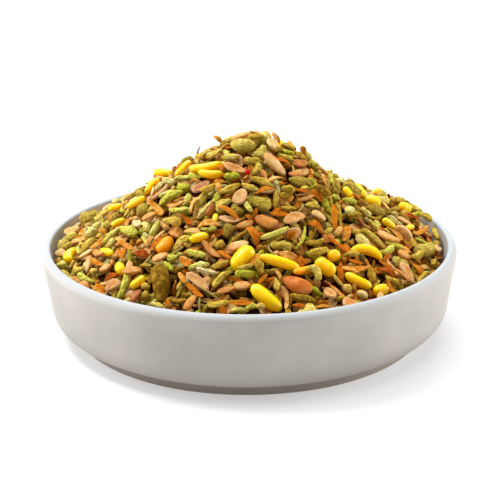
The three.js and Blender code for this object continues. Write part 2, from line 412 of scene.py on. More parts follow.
finish_piece(bed_mesh, "mix_bed", [seeds_in_shade], "mukhwas")

# %% [markdown]
# What is in the mix
# Each kind has its real length, width and thickness in millimetres, how much these vary, whether it is
# flat, how much it bends, and its share among the seeds in sight and on the far side. Flat kinds lie
# on a face, round kinds may roll. The sizes come from real seeds, set against the photograph's scale
# of about 0.27 mm a pixel.

# %% Seed kinds
Kind = namedtuple("Kind", "length width thickness spread flat bend share hidden_share")
KINDS = {
    "candy": Kind(8.0, 3.2, 3.2, 0.36, False, 0.04, 0, 1),
    "fennel": Kind(6.2, 2.5, 2.3, 0.3, False, 0.15, 31, 33),
    "crusted_fennel": Kind(5.2, 3.5, 3.1, 0.22, False, 0.1, 6, 7),
    "green_fennel": Kind(5.8, 2.1, 2.0, 0.24, False, 0.15, 10, 11),
    "split_coriander": Kind(5.5, 2.7, 1.4, 0.2, True, 0.1, 18, 17),
    "melon_kernel": Kind(7.6, 4.6, 2.5, 0.1, True, 0.05, 0, 2),
    "husk": Kind(5.4, 1.8, 1.2, 0.3, True, 0.3, 20, 17),
    "coriander": Kind(2.8, 2.6, 2.6, 0.12, False, 0.0, 2, 2),
    "pumpkin_seed": Kind(9.2, 5.4, 3.6, 0.06, True, 0.03, 0, 1),
    "red_bead": Kind(1.8, 1.7, 1.7, 0.05, False, 0.0, 0, 0),
    "stalk": Kind(5.0, 0.6, 0.6, 0.3, False, 0.2, 2, 2),
    "bit": Kind(2.8, 1.5, 1.3, 0.35, False, 0.1, 0, 0),
}
names = list(KINDS)
print("kinds:", ", ".join(names))

# %% [markdown]
# Seeds that catch the eye
# A heap of random seeds never looks like this heap: the yellow candies, the pale splits and the long
# green sticks are what one remembers of it. So those are laid one by one, at listed spots. Each row
# gives where a seed's middle is in the picture (pixels across and down), the angle of its long axis
# (degrees, rising to the right), its length and width in pixels, its tone from pale to dark, its bend,
# and whether it stands up at the outline.

# %% Seeds laid one by one
Spot = namedtuple("Spot", "across down angle length width tone bend stands", defaults=(0.5, 0.0, False))
ROWS = {
    "candy": [
        (242.5, 261, 47, 27, 18, 0.15), (280, 262, -10, 42, 11, 0.35), (266, 298, -33, 37, 15, 0.25),
        (325, 267, -38, 23, 15, 0.55), (334, 256, 0, 12, 12, 0.55), (301, 269, 20, 22, 8, 0.8),
        (366, 252, -22, 33, 11, 0.4, -0.5), (358, 281, -26, 30, 10, 0.45), (381, 290, 0, 15, 12, 0.5),
        (205, 167, 18, 32, 10, 0.25, 0.3), (210, 174, 5, 24, 9, 0.25, 0.15), (163, 173, 8, 18, 9, 0.15),
        (183, 167, 35, 22, 8, 0.3), (152, 186, 35, 20, 9, 0.25), (138, 203, 12, 24, 7, 0.2),
        (115, 208, 25, 15, 7, 0.15), (118, 222, 38, 15, 7, 0.25), (70, 255, -80, 19, 10, 0.15, 0.4),
        (106, 252, -22, 21, 9, 0.1), (120, 268, -60, 13, 11, 0.3), (138, 283, 38, 18, 9, 0.2),
        (199, 237, 12, 20, 9, 0.3), (215, 219, 80, 11, 6, 0.5), (372, 201, -35, 19, 12, 0.2),
        (360, 191, -60, 15, 9, 0.15), (405, 207, 0, 13, 11, 0.25), (389, 223, -20, 16, 8, 0.2),
        (348, 193, -45, 14, 8, 0.2), (410, 227, 25, 15, 6, 0.1), (165, 245, 60, 20, 13, 1.0),
    ],
    "green_fennel": [
        (275, 233, 22, 31, 7, 0.3), (170, 198, 22, 31, 9, 0.5), (183, 187, -15, 16, 10, 0.7),
        (187, 198, 55, 14, 8, 0.3), (217, 198, 60, 15, 8, 0.5), (248, 206, -58, 14, 7, 0.3),
        (178, 210, 0, 20, 6, 0.4), (110, 237, 30, 24, 6, 0.3), (128, 231, -15, 22, 11, 0.4),
        (123, 287, 65, 26, 8, 0.4, 0.3), (172, 258, 0, 11, 9, 0.4), (199, 266, 13, 23, 8, 0.2),
        (240, 310, 8, 18, 6, 0.3), (254, 307, 0, 14, 6, 0.4), (390, 250, 25, 14, 9, 0.4),
        (155, 228, 62, 17, 8, 0.3), (232, 177, -10, 16, 9, 0.8), (196, 253, -15, 20, 9, 0.4),
        (85, 279, -20, 16, 7, 0.4), (66, 240, 55, 13, 8, 0.2), (302, 239, 66, 23, 4, 0.6, 0.3),
        (350, 211, 40, 16, 9, 0.1), (95, 227, 15, 20, 8, 0.1), (340, 181, 0, 10, 8, 0.1),
        (416, 214, 20, 12, 8, 0.5),
    ],
    "fennel": [
        (315, 243, 22, 24, 7, 0.6), (318, 251, 10, 18, 8, 0.5), (336, 281, -42, 15, 5, 0.4),
        (344, 299, 5, 15, 6, 0.6), (303, 298, -8, 28, 9, 0.6), (277, 285, -82, 15, 7, 0.3),
        (276, 199, 82, 16, 7, 0.5), (286, 195, -10, 15, 9, 0.6), (288, 208, -15, 16, 6, 0.5),
        (312, 205, 0, 17, 8, 0.4), (359, 232, -12, 16, 9, 0.4), (373, 238, -33, 28, 9, 0.35),
        (374, 226, -35, 18, 7, 0.3), (201, 201, 55, 21, 9, 0.35), (238, 238, 38, 30, 6, 0.7),
        (220, 244, 0, 11, 10, 0.5), (220, 264, 12, 21, 7, 0.5), (222, 278, 45, 28, 8, 0.4),
        (178, 284, 75, 17, 6, 0.4), (219, 303, 20, 24, 8, 0.4), (157, 304, -25, 16, 6, 0.3),
        (88, 246, 38, 22, 10, 0.35), (78, 269, -20, 16, 9, 0.4), (145, 265, 15, 13, 5, 0.4),
        (147, 296, 20, 13, 10, 0.6), (418, 258, 10, 15, 8, 0.4), (434, 262, 60, 14, 8, 0.5),
        (436, 236, 80, 22, 7, 0.4), (372, 275, -60, 14, 8, 0.6), (392, 281, -35, 18, 8, 0.5),
        (425, 276, 35, 15, 8, 0.4), (229, 189, 28, 23, 8, 0.5), (208, 192, 30, 17, 9, 0.5),
        (253, 160, 0, 20, 10, 0.35), (231, 157, 15, 18, 9, 0.25), (214, 154, 10, 20, 9, 0.3),
        (262, 182, -20, 24, 8, 0.4), (250, 188, -27, 20, 8, 0.35), (288, 193, -15, 15, 9, 0.5),
        (285, 156, -20, 17, 9, 0.4), (257, 170, 65, 14, 8, 0.4), (103, 214, 10, 20, 8, 0.3),
        (146, 226, -60, 13, 8, 0.2), (255, 137, -8, 18, 8, 0.5), (290, 146, -30, 16, 9, 0.4),
        (309, 155, -40, 18, 8, 0.3), (63, 245, 50, 14, 9, 0.2), (71, 237, 30, 16, 9, 0.3),
        (437, 243, 75, 15, 8, 0.4), (420, 209, -35, 17, 9, 0.3), (430, 217, -45, 15, 9, 0.4),
        (397, 201, -10, 14, 9, 0.4),
    ],
    "crusted_fennel": [
        (281, 246, -5, 21, 13, 0.4), (313, 276, -52, 19, 12, 0.3), (261, 203, -45, 22, 13, 0.5),
        (229, 231, 30, 15, 12, 0.8), (425, 250, 22, 25, 14, 0.4), (243, 146, -5, 23, 13, 0.3),
        (300, 183, -5, 27, 13, 0.6),
    ],
    "split_coriander": [
        (267, 222, -5, 26, 16, 0.6), (294, 218, 8, 21, 11, 0.5), (319, 216, -15, 18, 9, 0.15),
        (241, 246, 28, 23, 11, 0.1), (240, 197, 45, 18, 14, 0.35), (242, 286, 0, 19, 11, 0.4),
        (226, 290, 18, 20, 8, 0.6), (198, 282, -32, 26, 10, 0.45), (191, 302, 57, 23, 10, 0.55),
        (160, 257, 20, 18, 9, 0.3), (229, 219, -8, 21, 7, 0.3), (105, 268, 15, 14, 11, 0.2),
        (132, 272, 12, 20, 9, 0.5), (113, 286, 10, 18, 14, 0.8), (98, 255, -25, 20, 9, 0.5),
        (149, 216, 40, 17, 8, 0.4), (235, 167, -18, 22, 9, 0.6), (275, 165, -40, 31, 12, 0.1),
        (240, 137, 20, 20, 9, 0.3), (407, 273, -50, 24, 10, 0.55), (404, 255, 0, 16, 12, 0.45),
        (388, 237, -35, 26, 10, 0.3), (404, 221, -10, 18, 6, 0.3), (296, 174, 18, 19, 7, 0.6),
        (300, 163, 0, 13, 10, 0.7), (201, 186, 40, 21, 9, 1.0), (136, 296, 60, 15, 10, 0.95),
        (305, 198, 8, 19, 5, 0.4), (330, 293, -45, 15, 11, 0.5), (60, 253, 0, 11, 10, 0.1),
        (78, 240, 20, 15, 8, 0.3), (72, 232, 25, 16, 10, 0.4), (177, 204, 10, 20, 5, 0.4),
        (209, 248, -36, 24, 8, 0.55), (438.5, 252, 60, 11, 8, 0.3),
    ],
    "melon_kernel": [(297, 285, -32, 32, 18, 0.6)],
    "pumpkin_seed": [(161, 284, -80, 33, 21, 0.5)],
    "husk": [
        (253, 234, -60, 21, 9, 0.5), (315, 225, -35, 17, 9, 0.7), (334, 217, -80, 25, 8, 0.5),
        (347, 233, 65, 14, 8, 0.3), (338, 244, -35, 29, 5, 0.7), (359, 262, -5, 18, 4, 0.6),
        (360, 269, 12, 20, 4, 0.3), (279, 275, -65, 14, 5, 0.2), (262, 279, 40, 16, 4, 0.6),
        (300, 306, -15, 15, 5, 0.7), (320, 307, 8, 20, 4, 0.3), (241, 303, 0, 28, 6, 0.5),
        (194, 204, 63, 20, 5, 0.1), (229, 212, -28, 28, 6, 0.5), (204, 226, 0, 26, 8, 0.2),
        (157, 208, -42, 18, 8, 0.3), (126, 244, -30, 17, 6, 0.3), (123, 253, 80, 13, 11, 0.5),
        (141, 254, -12, 17, 9, 1.0), (97, 263, -20, 13, 7, 0.4), (108, 277, 20, 17, 7, 0.9),
        (102, 231, 0, 8, 6, 0.4), (187, 219, -40, 12, 6, 0.7), (224, 254, -35, 18, 5, 0.6),
        (185, 262, -40, 13, 7, 0.5), (194, 290, -36, 23, 7, 0.6), (168, 303, -70, 10, 4, 0.6),
        (395, 233, -58, 20, 8, 0.2), (420, 231, 25, 25, 7, 0.3), (418, 269, -40, 14, 10, 0.5),
        (385, 262, -12, 16, 6, 0.6), (390, 287, -55, 16, 6, 0.5), (326, 182, -55, 17, 8, 0.2),
        (356, 197, -50, 10, 5, 0.7), (218, 181, 2, 17, 4, 0.4), (218, 188, -60, 11, 6, 0.2),
        (276, 137, -58, 15, 5, 0.1, 0, True), (220, 139, -35, 10, 5, 0.2, 0, True),
        (303, 149, 60, 8, 6, 0.2, 0, True), (95, 289, -22, 16, 4, 0.3), (389, 271, -35, 20, 8, 0.9),
        (184, 277, -60, 15, 6, 0.2), (267, 190, 10, 18, 6, 0.5), (300, 192, 0, 18, 4, 0.8),
    ],
    "coriander": [
        (347, 288, 0, 10, 10, 0.4), (360, 295, -40, 12, 9, 0.2), (263, 309, 0, 9, 7, 0.5),
        (148, 285, 0, 9, 8, 0.5), (94, 271, 0, 9, 7, 0.4),
    ],
    "red_bead": [(248, 172, 0, 6, 6, 0.5)],
    "stalk": [(196, 151, 68, 11, 2, 0.5, 0, True)],
}
SPOTS = {name: [Spot(*row) for row in rows] for name, rows in ROWS.items()}
print("laid by hand:", sum(len(spots) for spots in SPOTS.values()))

# %% [markdown]
# How a seed comes to rest
# A physics run with over a thousand seeds is slow and never quite repeats, so the heap is built as a
# child would: one seed at a time, dropped straight down. The ground is a grid of heights. A seed is
# an ellipsoid while it drops, because its under and upper side above each grid cell then follow from
# one quadratic equation. It stops where its under side first meets the ground, and its upper side
# becomes new ground. Two more grids keep seeds in view: one marks the cells under a seed that should
# be seen, and one says how high others may stand in front of it.

# %% Ground
CELL = 0.3  # mm across a cell
REACH = 54.0  # mm from the axis to the edge of the grid
SEED_CROWN = 0.6  # mm that the tops of seeds stand above the mean surface
EDGE_DIP = 1.5  # mm that the mix has settled along the near wall
DIP_WIDTH = 5.0  # mm from the wall
NO_LIMIT = 999.0  # mm, higher than anything here
RANDOM_SEED = 20261127
random = np.random.default_rng(RANDOM_SEED)

line = np.arange(-REACH, REACH + CELL / 2, CELL)
grid_x, grid_y = np.meshgrid(line, line, indexing="ij")
grid_r = np.hypot(grid_x, grid_y)
near_wall = np.clip(1 - (WALL_RADIUS - grid_r) / DIP_WIDTH, 0, 1) * np.clip(-grid_y / WALL_RADIUS, 0, 1)
surface = heap_height(grid_x, grid_y) + SEED_CROWN - EDGE_DIP * near_wall
ground = np.where(grid_r < WALL_RADIUS, surface - SEED_CROWN - BED_DEPTH, BOWL_HEIGHT)
sight = np.full(ground.shape, NO_LIMIT)  # how high a seed may stand without hiding another
kept = np.zeros(ground.shape, bool)  # cells under a seed that should stay in sight
print(f"ground: {len(line)} by {len(line)} cells of {CELL} mm")

# %% A seed that drops
SINK = 0.2  # mm that neighbours press into each other
WALL_GAP = 0.2  # mm between seeds and the bowl
MOST_ON_KEPT = 0.05  # share of a seed that may lie over one laid at a listed spot
FAR_BELOW = -99.0  # mm, lower than anything here
LEAST_RADIUS = 0.01  # mm, so that nothing is divided by zero


def seed_sides(axes, half, x, y):
    """Grid window under a seed lying in several ways, the cells it covers, its under and upper side."""
    half = np.maximum(half, CELL)
    reach = half.max()
    window = tuple(
        slice(max(0, int((place.min() - reach + REACH) / CELL)),
              int((place.max() + reach + REACH) / CELL) + 2)
        for place in (x, y))
    dx = grid_x[window] - x[:, None, None]
    dy = grid_y[window] - y[:, None, None]
    form = np.linalg.inv((axes * half ** 2) @ axes.transpose(0, 2, 1))[:, :, :, None, None]
    slant = form[:, 0, 2] * dx + form[:, 1, 2] * dy
    level = form[:, 0, 0] * dx ** 2 + 2 * form[:, 0, 1] * dx * dy + form[:, 1, 1] * dy ** 2 - 1
    inside = slant ** 2 - form[:, 2, 2] * level
    covered = inside > 0
    root = np.sqrt(np.where(covered, inside, 0))
    return window, covered, (-slant - root) / form[:, 2, 2], (-slant + root) / form[:, 2, 2]


def drop(axes, half, x, y):
    """Drops a seed in several ways: its height, how proud of the heap it is, and whether it hides one."""
    window, covered, lower, upper = seed_sides(axes, half, x, y)
    height = np.where(covered, ground[window] - lower, FAR_BELOW).max(axis=(1, 2)) - SINK
    top = height[:, None, None] + upper
    proud = np.where(covered, top - surface[window], FAR_BELOW).max(axis=(1, 2))
    in_front = np.where(covered, top - sight[window], FAR_BELOW).max(axis=(1, 2)) > 0
    on_kept = (covered & kept[window]).sum(axis=(1, 2)) / covered.sum(axis=(1, 2))
    return height, proud, in_front | (on_kept > MOST_ON_KEPT)


def inside_wall(axes, half, x, y):
    """Places moved towards the axis as far as the seed's reach needs to stay clear of the bowl."""
    radius = np.maximum(np.hypot(x, y), LEAST_RADIUS)
    outward = np.column_stack([x, y, 0 * x]) / radius[:, None]
    reach = np.linalg.norm(np.einsum("ni,nij->nj", outward, axes * half), axis=1)
    inward = np.minimum(1.0, (WALL_RADIUS - WALL_GAP - reach) / radius)
    return x * inward, y * inward


print(f"seeds press {SINK} mm into each other")

# %% A seed that lies
KEPT_FROM = 0.08  # share of a seed's thickness from which the cell under it is kept in sight
SIGHT_CELLS = 18  # how many cells in front of a seed its line of sight is kept free
Seed = namedtuple("Seed", "centre axes half tone bend")
laid = {name: [] for name in names}


def keep_in_sight(window, middle, upper, centre):
    """Keeps later seeds off the middle of a seed, and below its line of sight in front of it."""
    x, y, height = centre
    kept[window] |= middle
    drift = (eye[0] - x) / (y - eye[1])
    rise = CELL * (eye[2] - height) / (y - eye[1])
    rows, columns = np.nonzero(middle)
    for nearer in range(1, SIGHT_CELLS + 1):
        front = (np.clip(rows + window[0].start + round(nearer * drift), 0, len(line) - 1),
                 np.clip(columns + window[1].start - nearer, 0, len(line) - 1))
        sight[front] = np.minimum(sight[front], height + upper[middle] + nearer * rise)


def lay(name, axes, half, centre, tone, bend, keep):
    """Adds a seed to the heap and raises the ground to its upper side."""
    x, y, height = centre
    window, covered, lower, upper = seed_sides(axes[None], half, np.array([x]), np.array([y]))
    covered, thickness, upper = covered[0], (upper - lower)[0], upper[0]
    ground[window] = np.where(covered, np.maximum(ground[window], height + upper), ground[window])
    if keep:
        keep_in_sight(window, covered & (thickness > KEPT_FROM * thickness.max()), upper, centre)
    laid[name].append(Seed(np.array(centre), axes, half, tone, bend))
    return window


def seed_axes(normal, along, lean, roll):
    """Axes of a seed in several ways: along it, across it and out of its face, leant and rolled."""
    across = np.cross(normal, along)
    leant = np.cos(lean) * along + np.sin(lean) * normal
    out = np.cos(lean) * normal - np.sin(lean) * along
    return np.stack([leant, np.cos(roll) * across - np.sin(roll) * out,
                     np.cos(roll) * out + np.sin(roll) * across], axis=2)


def slope_tangents(normal):
    """Two directions in the slope: level across the picture, and up the slope."""
    level = np.array([1.0, 0.0, 0.0]) - normal * normal[0]
    level /= np.linalg.norm(level)
    return level, np.cross(normal, level)


print(f"lines of sight are kept free over {SIGHT_CELLS * CELL:.1f} mm")

# %% [markdown]
# Seeds by chance
# Between the seeds that one remembers lie many more, and for those chance is right: a kind by its
# share, a size about the usual one, a tone, a bend and a way to lie. Pure chance would bunch the kinds,
# so one that has fallen behind its share gets better odds. Of a few ways to lie, the least proud is
# kept. Seeds at the left end and the top of the heap get paler tones: painted light, for the stronger
# light that falls there.

# %% A seed by chance
TURNS = 5  # ways to lie that are tried
LEAN = 0.55  # radians, spread of the lean out of the slope
FLAT_ROLL = 0.45  # radians, spread of the roll of flat seeds
NEAR = 0.7  # mm that a seed may shift from the lowest cell
SIZE_SPREAD, SHAPE_SPREAD = 0.5, 0.6  # of a kind's spread, for all of a seed and for each of its sizes
SMALLEST, LARGEST = 0.6, 1.5  # against the usual size
LOOK_AHEAD = 12  # seeds over which a kind may catch up with its share
LEAST_CHANCE = 0.02  # of its share, for a kind that is ahead
FLAT_TONES, ROUND_TONES = (1.5, 1.8), (2.1, 1.4)  # shapes of the spread of tones
PAINTED_LIGHT_LEFT = 0.5  # painted light: how much paler in tone the seeds at the left end are made
PAINTED_LIGHT_TOP = 0.25  # the same for the top
UNEVEN = 0.8  # mm by which the filling differs from cell to cell
uneven_fill = random.uniform(0, UNEVEN, ground.shape)


def random_half(kind):
    """Half length, width and thickness of one seed of a kind."""
    size = random.normal(1.0, kind.spread * SIZE_SPREAD)
    shape = random.normal(1.0, kind.spread * SHAPE_SPREAD, 3)
    usual = np.array([kind.length, kind.width, kind.thickness])
    sizes = usual * np.clip(size * shape, SMALLEST, LARGEST) / 2
    if not kind.flat:
        sizes[2] = sizes[1] * kind.thickness / kind.width
    return sizes


def next_kind(shares, counts):
    """Number of a kind by chance, with better chances for kinds that have fallen behind."""
    wanted = np.maximum(shares * (counts.sum() + LOOK_AHEAD) - counts, LEAST_CHANCE * shares)
    return int(random.choice(len(names), p=wanted / wanted.sum()))


def best_rest(kind, half, x, y):
    """Of several ways to lie near a place, the least proud: how proud, its axes and its centre."""
    normal = heap_normal(x, y)
    level, upslope = slope_tangents(normal)
    turn = random.uniform(0, 2 * math.pi, (TURNS, 1))
    lean = random.normal(0, LEAN, (TURNS, 1))
    roll = random.normal(0, FLAT_ROLL, (TURNS, 1)) if kind.flat else random.uniform(0, math.pi, (TURNS, 1))
    axes = seed_axes(normal, np.cos(turn) * level + np.sin(turn) * upslope, lean, roll)
    near_x = x + random.uniform(-NEAR, NEAR, TURNS)
    near_y = y + random.uniform(-NEAR, NEAR, TURNS)
    near_x, near_y = inside_wall(axes, half, near_x, near_y)
    height, proud, hides = drop(axes, half, near_x, near_y)
    proud = np.where(hides, NO_LIMIT, proud)
    best = int(np.argmin(proud))
    return proud[best], axes[best], (near_x[best], near_y[best], height[best])


def lay_at_random(number, half, axes, centre):
    """Lays a seed of the kind with this number, with a tone and a bend by chance; painted light pales the
    tone.
    """
    kind = KINDS[names[number]]
    bend = random.normal(0, kind.bend)
    tone = random.beta(*(FLAT_TONES if kind.flat else ROUND_TONES))
    # painted light: paler tones towards the left end and the top of the heap
    leftward = min(1.0, max(0.0, -centre[0] / WALL_RADIUS))
    upward = min(1.0, max(0.0, (centre[2] - FILL_HEIGHT) / (HEAP_HEIGHT - FILL_HEIGHT)))
    tone = max(0.0, tone - PAINTED_LIGHT_LEFT * leftward - PAINTED_LIGHT_TOP * upward ** 2)
    return lay(names[number], axes, half, centre, tone, bend, False)


print(f"each seed by chance is tried in {TURNS} ways")

# %% [markdown]
# Filling rounds
# A filling round finds the lowest cell of the ground, drops a seed there, and stops when the ground
# has come up to a given depth below the heap's surface. Where a seed would stand too proud the place
# is given up. At the outline this is stricter, since each seed there is drawn against the white. Some
# loose seeds across the others come last: a heap without them looks combed.

# %% Filling and scattering
SLACK = 0.3  # mm that a seed may stand above the level asked for, on average
SLACK_SPREAD = 0.8  # from seed to seed
MOST_SLACK = 1.6
CREST_SLACK = 0.4  # the same where the heap's outline is
CREST = 0.3  # cosine between slope and line of sight below which the outline is near
IN_SIGHT = -0.15  # least cosine between slope and line of sight
EDGE_RADIUS = 51.2  # mm from the axis within which seeds are dropped
GIVEN_UP = 2  # cells each way round a place that is given up
EYE_DIRECTION = (eye - np.array([0, 0, AIM_HEIGHT])) / VIEW_DISTANCE
Trial = namedtuple("Trial", "facing region number half proud axes centre")
region_shares = np.array([[KINDS[name].hidden_share, KINDS[name].share] for name in names], float).T
region_shares /= region_shares.sum(axis=1, keepdims=True)


def try_seed(x, y, shares, counts):
    """A seed of a kind by chance at its best rest near a place."""
    facing = heap_normal(x, y) @ EYE_DIRECTION
    region = int(facing > IN_SIGHT)
    number = next_kind(shares[region], counts[region])
    kind = KINDS[names[number]]
    half = random_half(kind)
    return Trial(facing, region, number, half, *best_rest(kind, half, x, y))


def room_above(window, below):
    """Free height between the ground and this depth below the heap's surface, where seeds may lie."""
    free = np.minimum(surface[window], sight[window]) - below - ground[window] + uneven_fill[window]
    return np.where((grid_r[window] < EDGE_RADIUS) & ~kept[window], free, -1.0)


def fill(below, least_room, shares):
    """Drops seeds into the lowest places until the ground is this far below the heap's surface."""
    room = room_above((slice(None), slice(None)), below)
    counts = np.zeros(region_shares.shape)
    while room.max() >= least_room:
        row, column = np.unravel_index(np.argmax(room), room.shape)
        trial = try_seed(line[row], line[column], shares, counts)
        most_slack = CREST_SLACK if abs(trial.facing) < CREST else MOST_SLACK
        slack = min(random.normal(SLACK, SLACK_SPREAD), most_slack)
        if trial.proud > (SLACK - below if below > 0 else slack):
            room[max(0, row - GIVEN_UP):row + GIVEN_UP + 1,
                 max(0, column - GIVEN_UP):column + GIVEN_UP + 1] = -1.0
            continue
        window = lay_at_random(trial.number, trial.half, trial.axes, trial.centre)
        room[window] = np.minimum(room[window], room_above(window, below))
        counts[trial.region, trial.number] += 1
    print(f"filled to {below} mm below the surface: {int(counts.sum())} seeds")


def scatter(tries, most_proud):
    """Drops more seeds anywhere on the heap, where they don't stand too proud."""
    counts = np.zeros(region_shares.shape)
    for _ in range(tries):
        turn = random.uniform(0, 2 * math.pi)
        radius = EDGE_RADIUS * math.sqrt(random.uniform(0, 1))
        trial = try_seed(radius * math.cos(turn), radius * math.sin(turn), region_shares, counts)
        if trial.proud <= (CREST_SLACK if abs(trial.facing) < CREST else most_proud):
            lay_at_random(trial.number, trial.half, trial.axes, trial.centre)
            counts[trial.region, trial.number] += 1
    print(f"scattered on top: {int(counts.sum())} seeds")


print("shares in sight:", dict(zip(names, np.round(region_shares[1], 2).tolist())))

# %% [markdown]
# From a pixel to a place
# A seed laid at a listed spot has to show at that spot in the picture, so it goes where the ray from
# the eye through that pixel meets the heap. The spot's angle and sizes are as seen. The seed lies in the
# slope, which the eye meets aslant, so its long axis is the direction in the slope that shows at that
# angle, and its real sizes are the seen ones without their foreshortening.

# %% Rays through the picture
RAY_REACH, RAY_STEP = 75.0, 0.1  # mm before and behind the bowl's axis
RAY = np.arange(-RAY_REACH, RAY_REACH, RAY_STEP) + VIEW_DISTANCE
PIXEL = 0.27  # mm, about
WALL_FALL = 3  # how steeply the surface falls away by the wall, so that no ray ends outside the bowl
WALL_BAND = 1  # mm from the wall where that starts
LEAST_FACING = 0.5  # cosine between a seed's face and the line of sight
EDGE_SEEN = 0.6  # share of a flat seed's thickness that adds to its width when it is seen aslant
LEAST_SEEN = 0.65  # share of a size that foreshortening leaves
LEAST_THICKNESS = 0.8  # mm
Placed = namedtuple("Placed", "name spot half normal long_axis point")


def pixel_on_heap(across, down, depth):
    """The point at this depth under the heap's surface that a pixel shows, and the mm per pixel there."""
    middle = PHOTO_SIDE / 2
    ray = (camera_right * (across - middle) + camera_up * (middle - down)) / FOCAL_PIXELS - camera_back
    points = eye + RAY[:, None] * ray
    above = points[:, 2] - heap_height(points[:, 0], points[:, 1]) - SEED_CROWN + depth
    past_wall = np.hypot(points[:, 0], points[:, 1]) - WALL_RADIUS + WALL_BAND
    above = above + WALL_FALL * np.maximum(0, past_wall)
    hits = np.nonzero(above <= 0)[0]
    place = hits[0] if len(hits) else int(np.argmin(above))
    return points[place], RAY[place] / FOCAL_PIXELS


def seen_axes(normal, angle):
    """The direction in a slope that shows at this angle in the picture, and how foreshortened it is."""
    level, upslope = slope_tangents(normal)
    seen = np.array([[level @ camera_right, upslope @ camera_right],
                     [level @ camera_up, upslope @ camera_up]])
    mix = np.linalg.solve(seen, [math.cos(angle), math.sin(angle)])
    along = mix[0] * level + mix[1] * upslope
    long_axis = along / np.linalg.norm(along)
    return long_axis, math.hypot(long_axis @ camera_right, long_axis @ camera_up)


def hand_seed(name, spot):
    """A seed laid at its listed spot, with its half sizes, slope, long axis and place."""
    kind = KINDS[name]
    flatness = kind.thickness / kind.width
    point, scale = pixel_on_heap(spot.across, spot.down, spot.width * PIXEL * flatness / 2)
    normal = heap_normal(point[0], point[1])
    facing = normal @ EYE_DIRECTION
    if spot.stands:
        normal = EYE_DIRECTION
    elif facing < LEAST_FACING:
        normal = normal + EYE_DIRECTION * (LEAST_FACING - facing)
        normal /= np.linalg.norm(normal)
    long_axis, shortened = seen_axes(normal, math.radians(spot.angle))
    across = np.cross(normal, long_axis)
    tilt = math.acos(min(1.0, math.hypot(across @ camera_right, across @ camera_up)))
    width_seen = math.cos(tilt) + EDGE_SEEN * flatness * math.sin(tilt) if kind.flat else 1.0
    length = spot.length * scale / max(shortened, LEAST_SEEN)
    width = spot.width * scale / max(width_seen, LEAST_SEEN)
    thickness = max(width * flatness, LEAST_THICKNESS)
    return Placed(name, spot, np.array([length, width, thickness]) / 2, normal, long_axis, point)


hand = [hand_seed(name, spot) for name, spots in SPOTS.items() for spot in spots]
print("longest seed laid by hand:", round(2 * max(seed.half[0] for seed in hand), 1), "mm")

# %% [markdown]
# Spread by the golden angle
# Candies are as thick on the far side as on the near one, and lumps of crusted fennel turn up all over
# the heap. Points by chance would bunch. Turning by the golden angle while the radius grows, as seeds
# do in a sunflower, spaces them without rows. A grid marks the places that are taken.

# %% Spread seeds
GOLDEN_ANGLE = math.pi * (3 - math.sqrt(5))
FAR_CANDIES = 64  # for the whole heap, of which only those on the far side are laid
CRUSTED = 80  # lumps of crusted fennel, fewer after those that come too near to other seeds
MOST_TAKEN = 0.2  # share of a lump's place that may be taken
SPREAD_TONES = (0.1, 0.7)
reserved = np.zeros(ground.shape, bool)


def spread_seed(name, number, places):
    """One of so many seeds of a kind that are spread over the whole heap by the golden angle."""
    turn, radius = GOLDEN_ANGLE * number, EDGE_RADIUS * math.sqrt((number + 0.5) / places)
    x, y = radius * math.cos(turn), radius * math.sin(turn)
    half = random_half(KINDS[name])
    normal = heap_normal(x, y)
    level, upslope = slope_tangents(normal)
    along = random.uniform(0, math.pi)
    spot = Spot(0, 0, 0, 0, 0, random.uniform(*SPREAD_TONES))
    point = np.array([x, y, heap_height(x, y) + SEED_CROWN - half[2]])
    return Placed(name, spot, half, normal, math.cos(along) * level + math.sin(along) * upslope, point)


def reserve(seed):
    """Marks the cells under a seed as taken, and says what share of them was taken before."""
    straight = np.zeros((1, 1))
    axes = seed_axes(seed.normal, seed.long_axis[None], straight, straight)
    window, covered, _, _ = seed_sides(axes, seed.half, seed.point[:1], seed.point[1:2])
    before = (covered[0] & reserved[window]).sum() / covered[0].sum()
    reserved[window] |= covered[0]
    return before


for seed in hand:
    reserve(seed)
for number in range(FAR_CANDIES):
    seed = spread_seed("candy", number, FAR_CANDIES)
    if seed.normal @ EYE_DIRECTION < IN_SIGHT:
        reserve(seed)
        hand.append(seed)
for number in range(CRUSTED):
    seed = spread_seed("crusted_fennel", number, CRUSTED)
    if reserve(seed) < MOST_TAKEN:
        hand.append(seed)
print("laid by hand or spread out:", len(hand))

# %% [markdown]
# Carried by others
# A seed with a place of its own can't just drop: the ground under it may be too low, and then it would
# sink out of sight. So it is tried with small shifts and leans, and while it still lies too low, a
# fennel seed goes under it as a prop. If the ground is too high, it is pressed in.

# %% Laying at listed spots
MOST_PROUD = 1.0  # mm that a seed laid at a listed spot may stand above its place
LAST_PROUD = 0.2  # the same for the small things that come last
LAST = {"red_bead", "stalk"}  # kinds that lie on top of the others
LOW = 0.5  # mm that a seed laid at a listed spot may lie too low
MOST_PROPS = 4  # seeds that may carry one laid at a listed spot
PROP_SHAPE = np.array([2.4, 1.05, 1.0])  # length and width of a prop against its thickness
THINNEST_PROP, THICKEST_PROP = 0.9, 2.4  # mm
ASIDE = (-0.6, 0.0, 0.6)  # mm that a seed may be shifted
LEANS = (-0.22, 0.0, 0.22)  # radians that it may lean
SHIFTS = np.array([(x, y, lean) for x in ASIDE for y in ASIDE for lean in LEANS])
SHIFT_COST = 0.5 * np.abs(SHIFTS[:, 0]) + 0.1 * np.abs(SHIFTS[:, 1])  # a shift in depth shows less


def prop(x, y, gap):
    """Lays a seed of about this thickness at a place, to carry one that is laid at its listed spot."""
    half = PROP_SHAPE * min(max(gap, THINNEST_PROP), THICKEST_PROP) / 2
    proud, axes, centre = best_rest(KINDS["fennel"], half, x, y)
    if proud < NO_LIMIT:
        lay_at_random(names.index("fennel"), half, axes, centre)


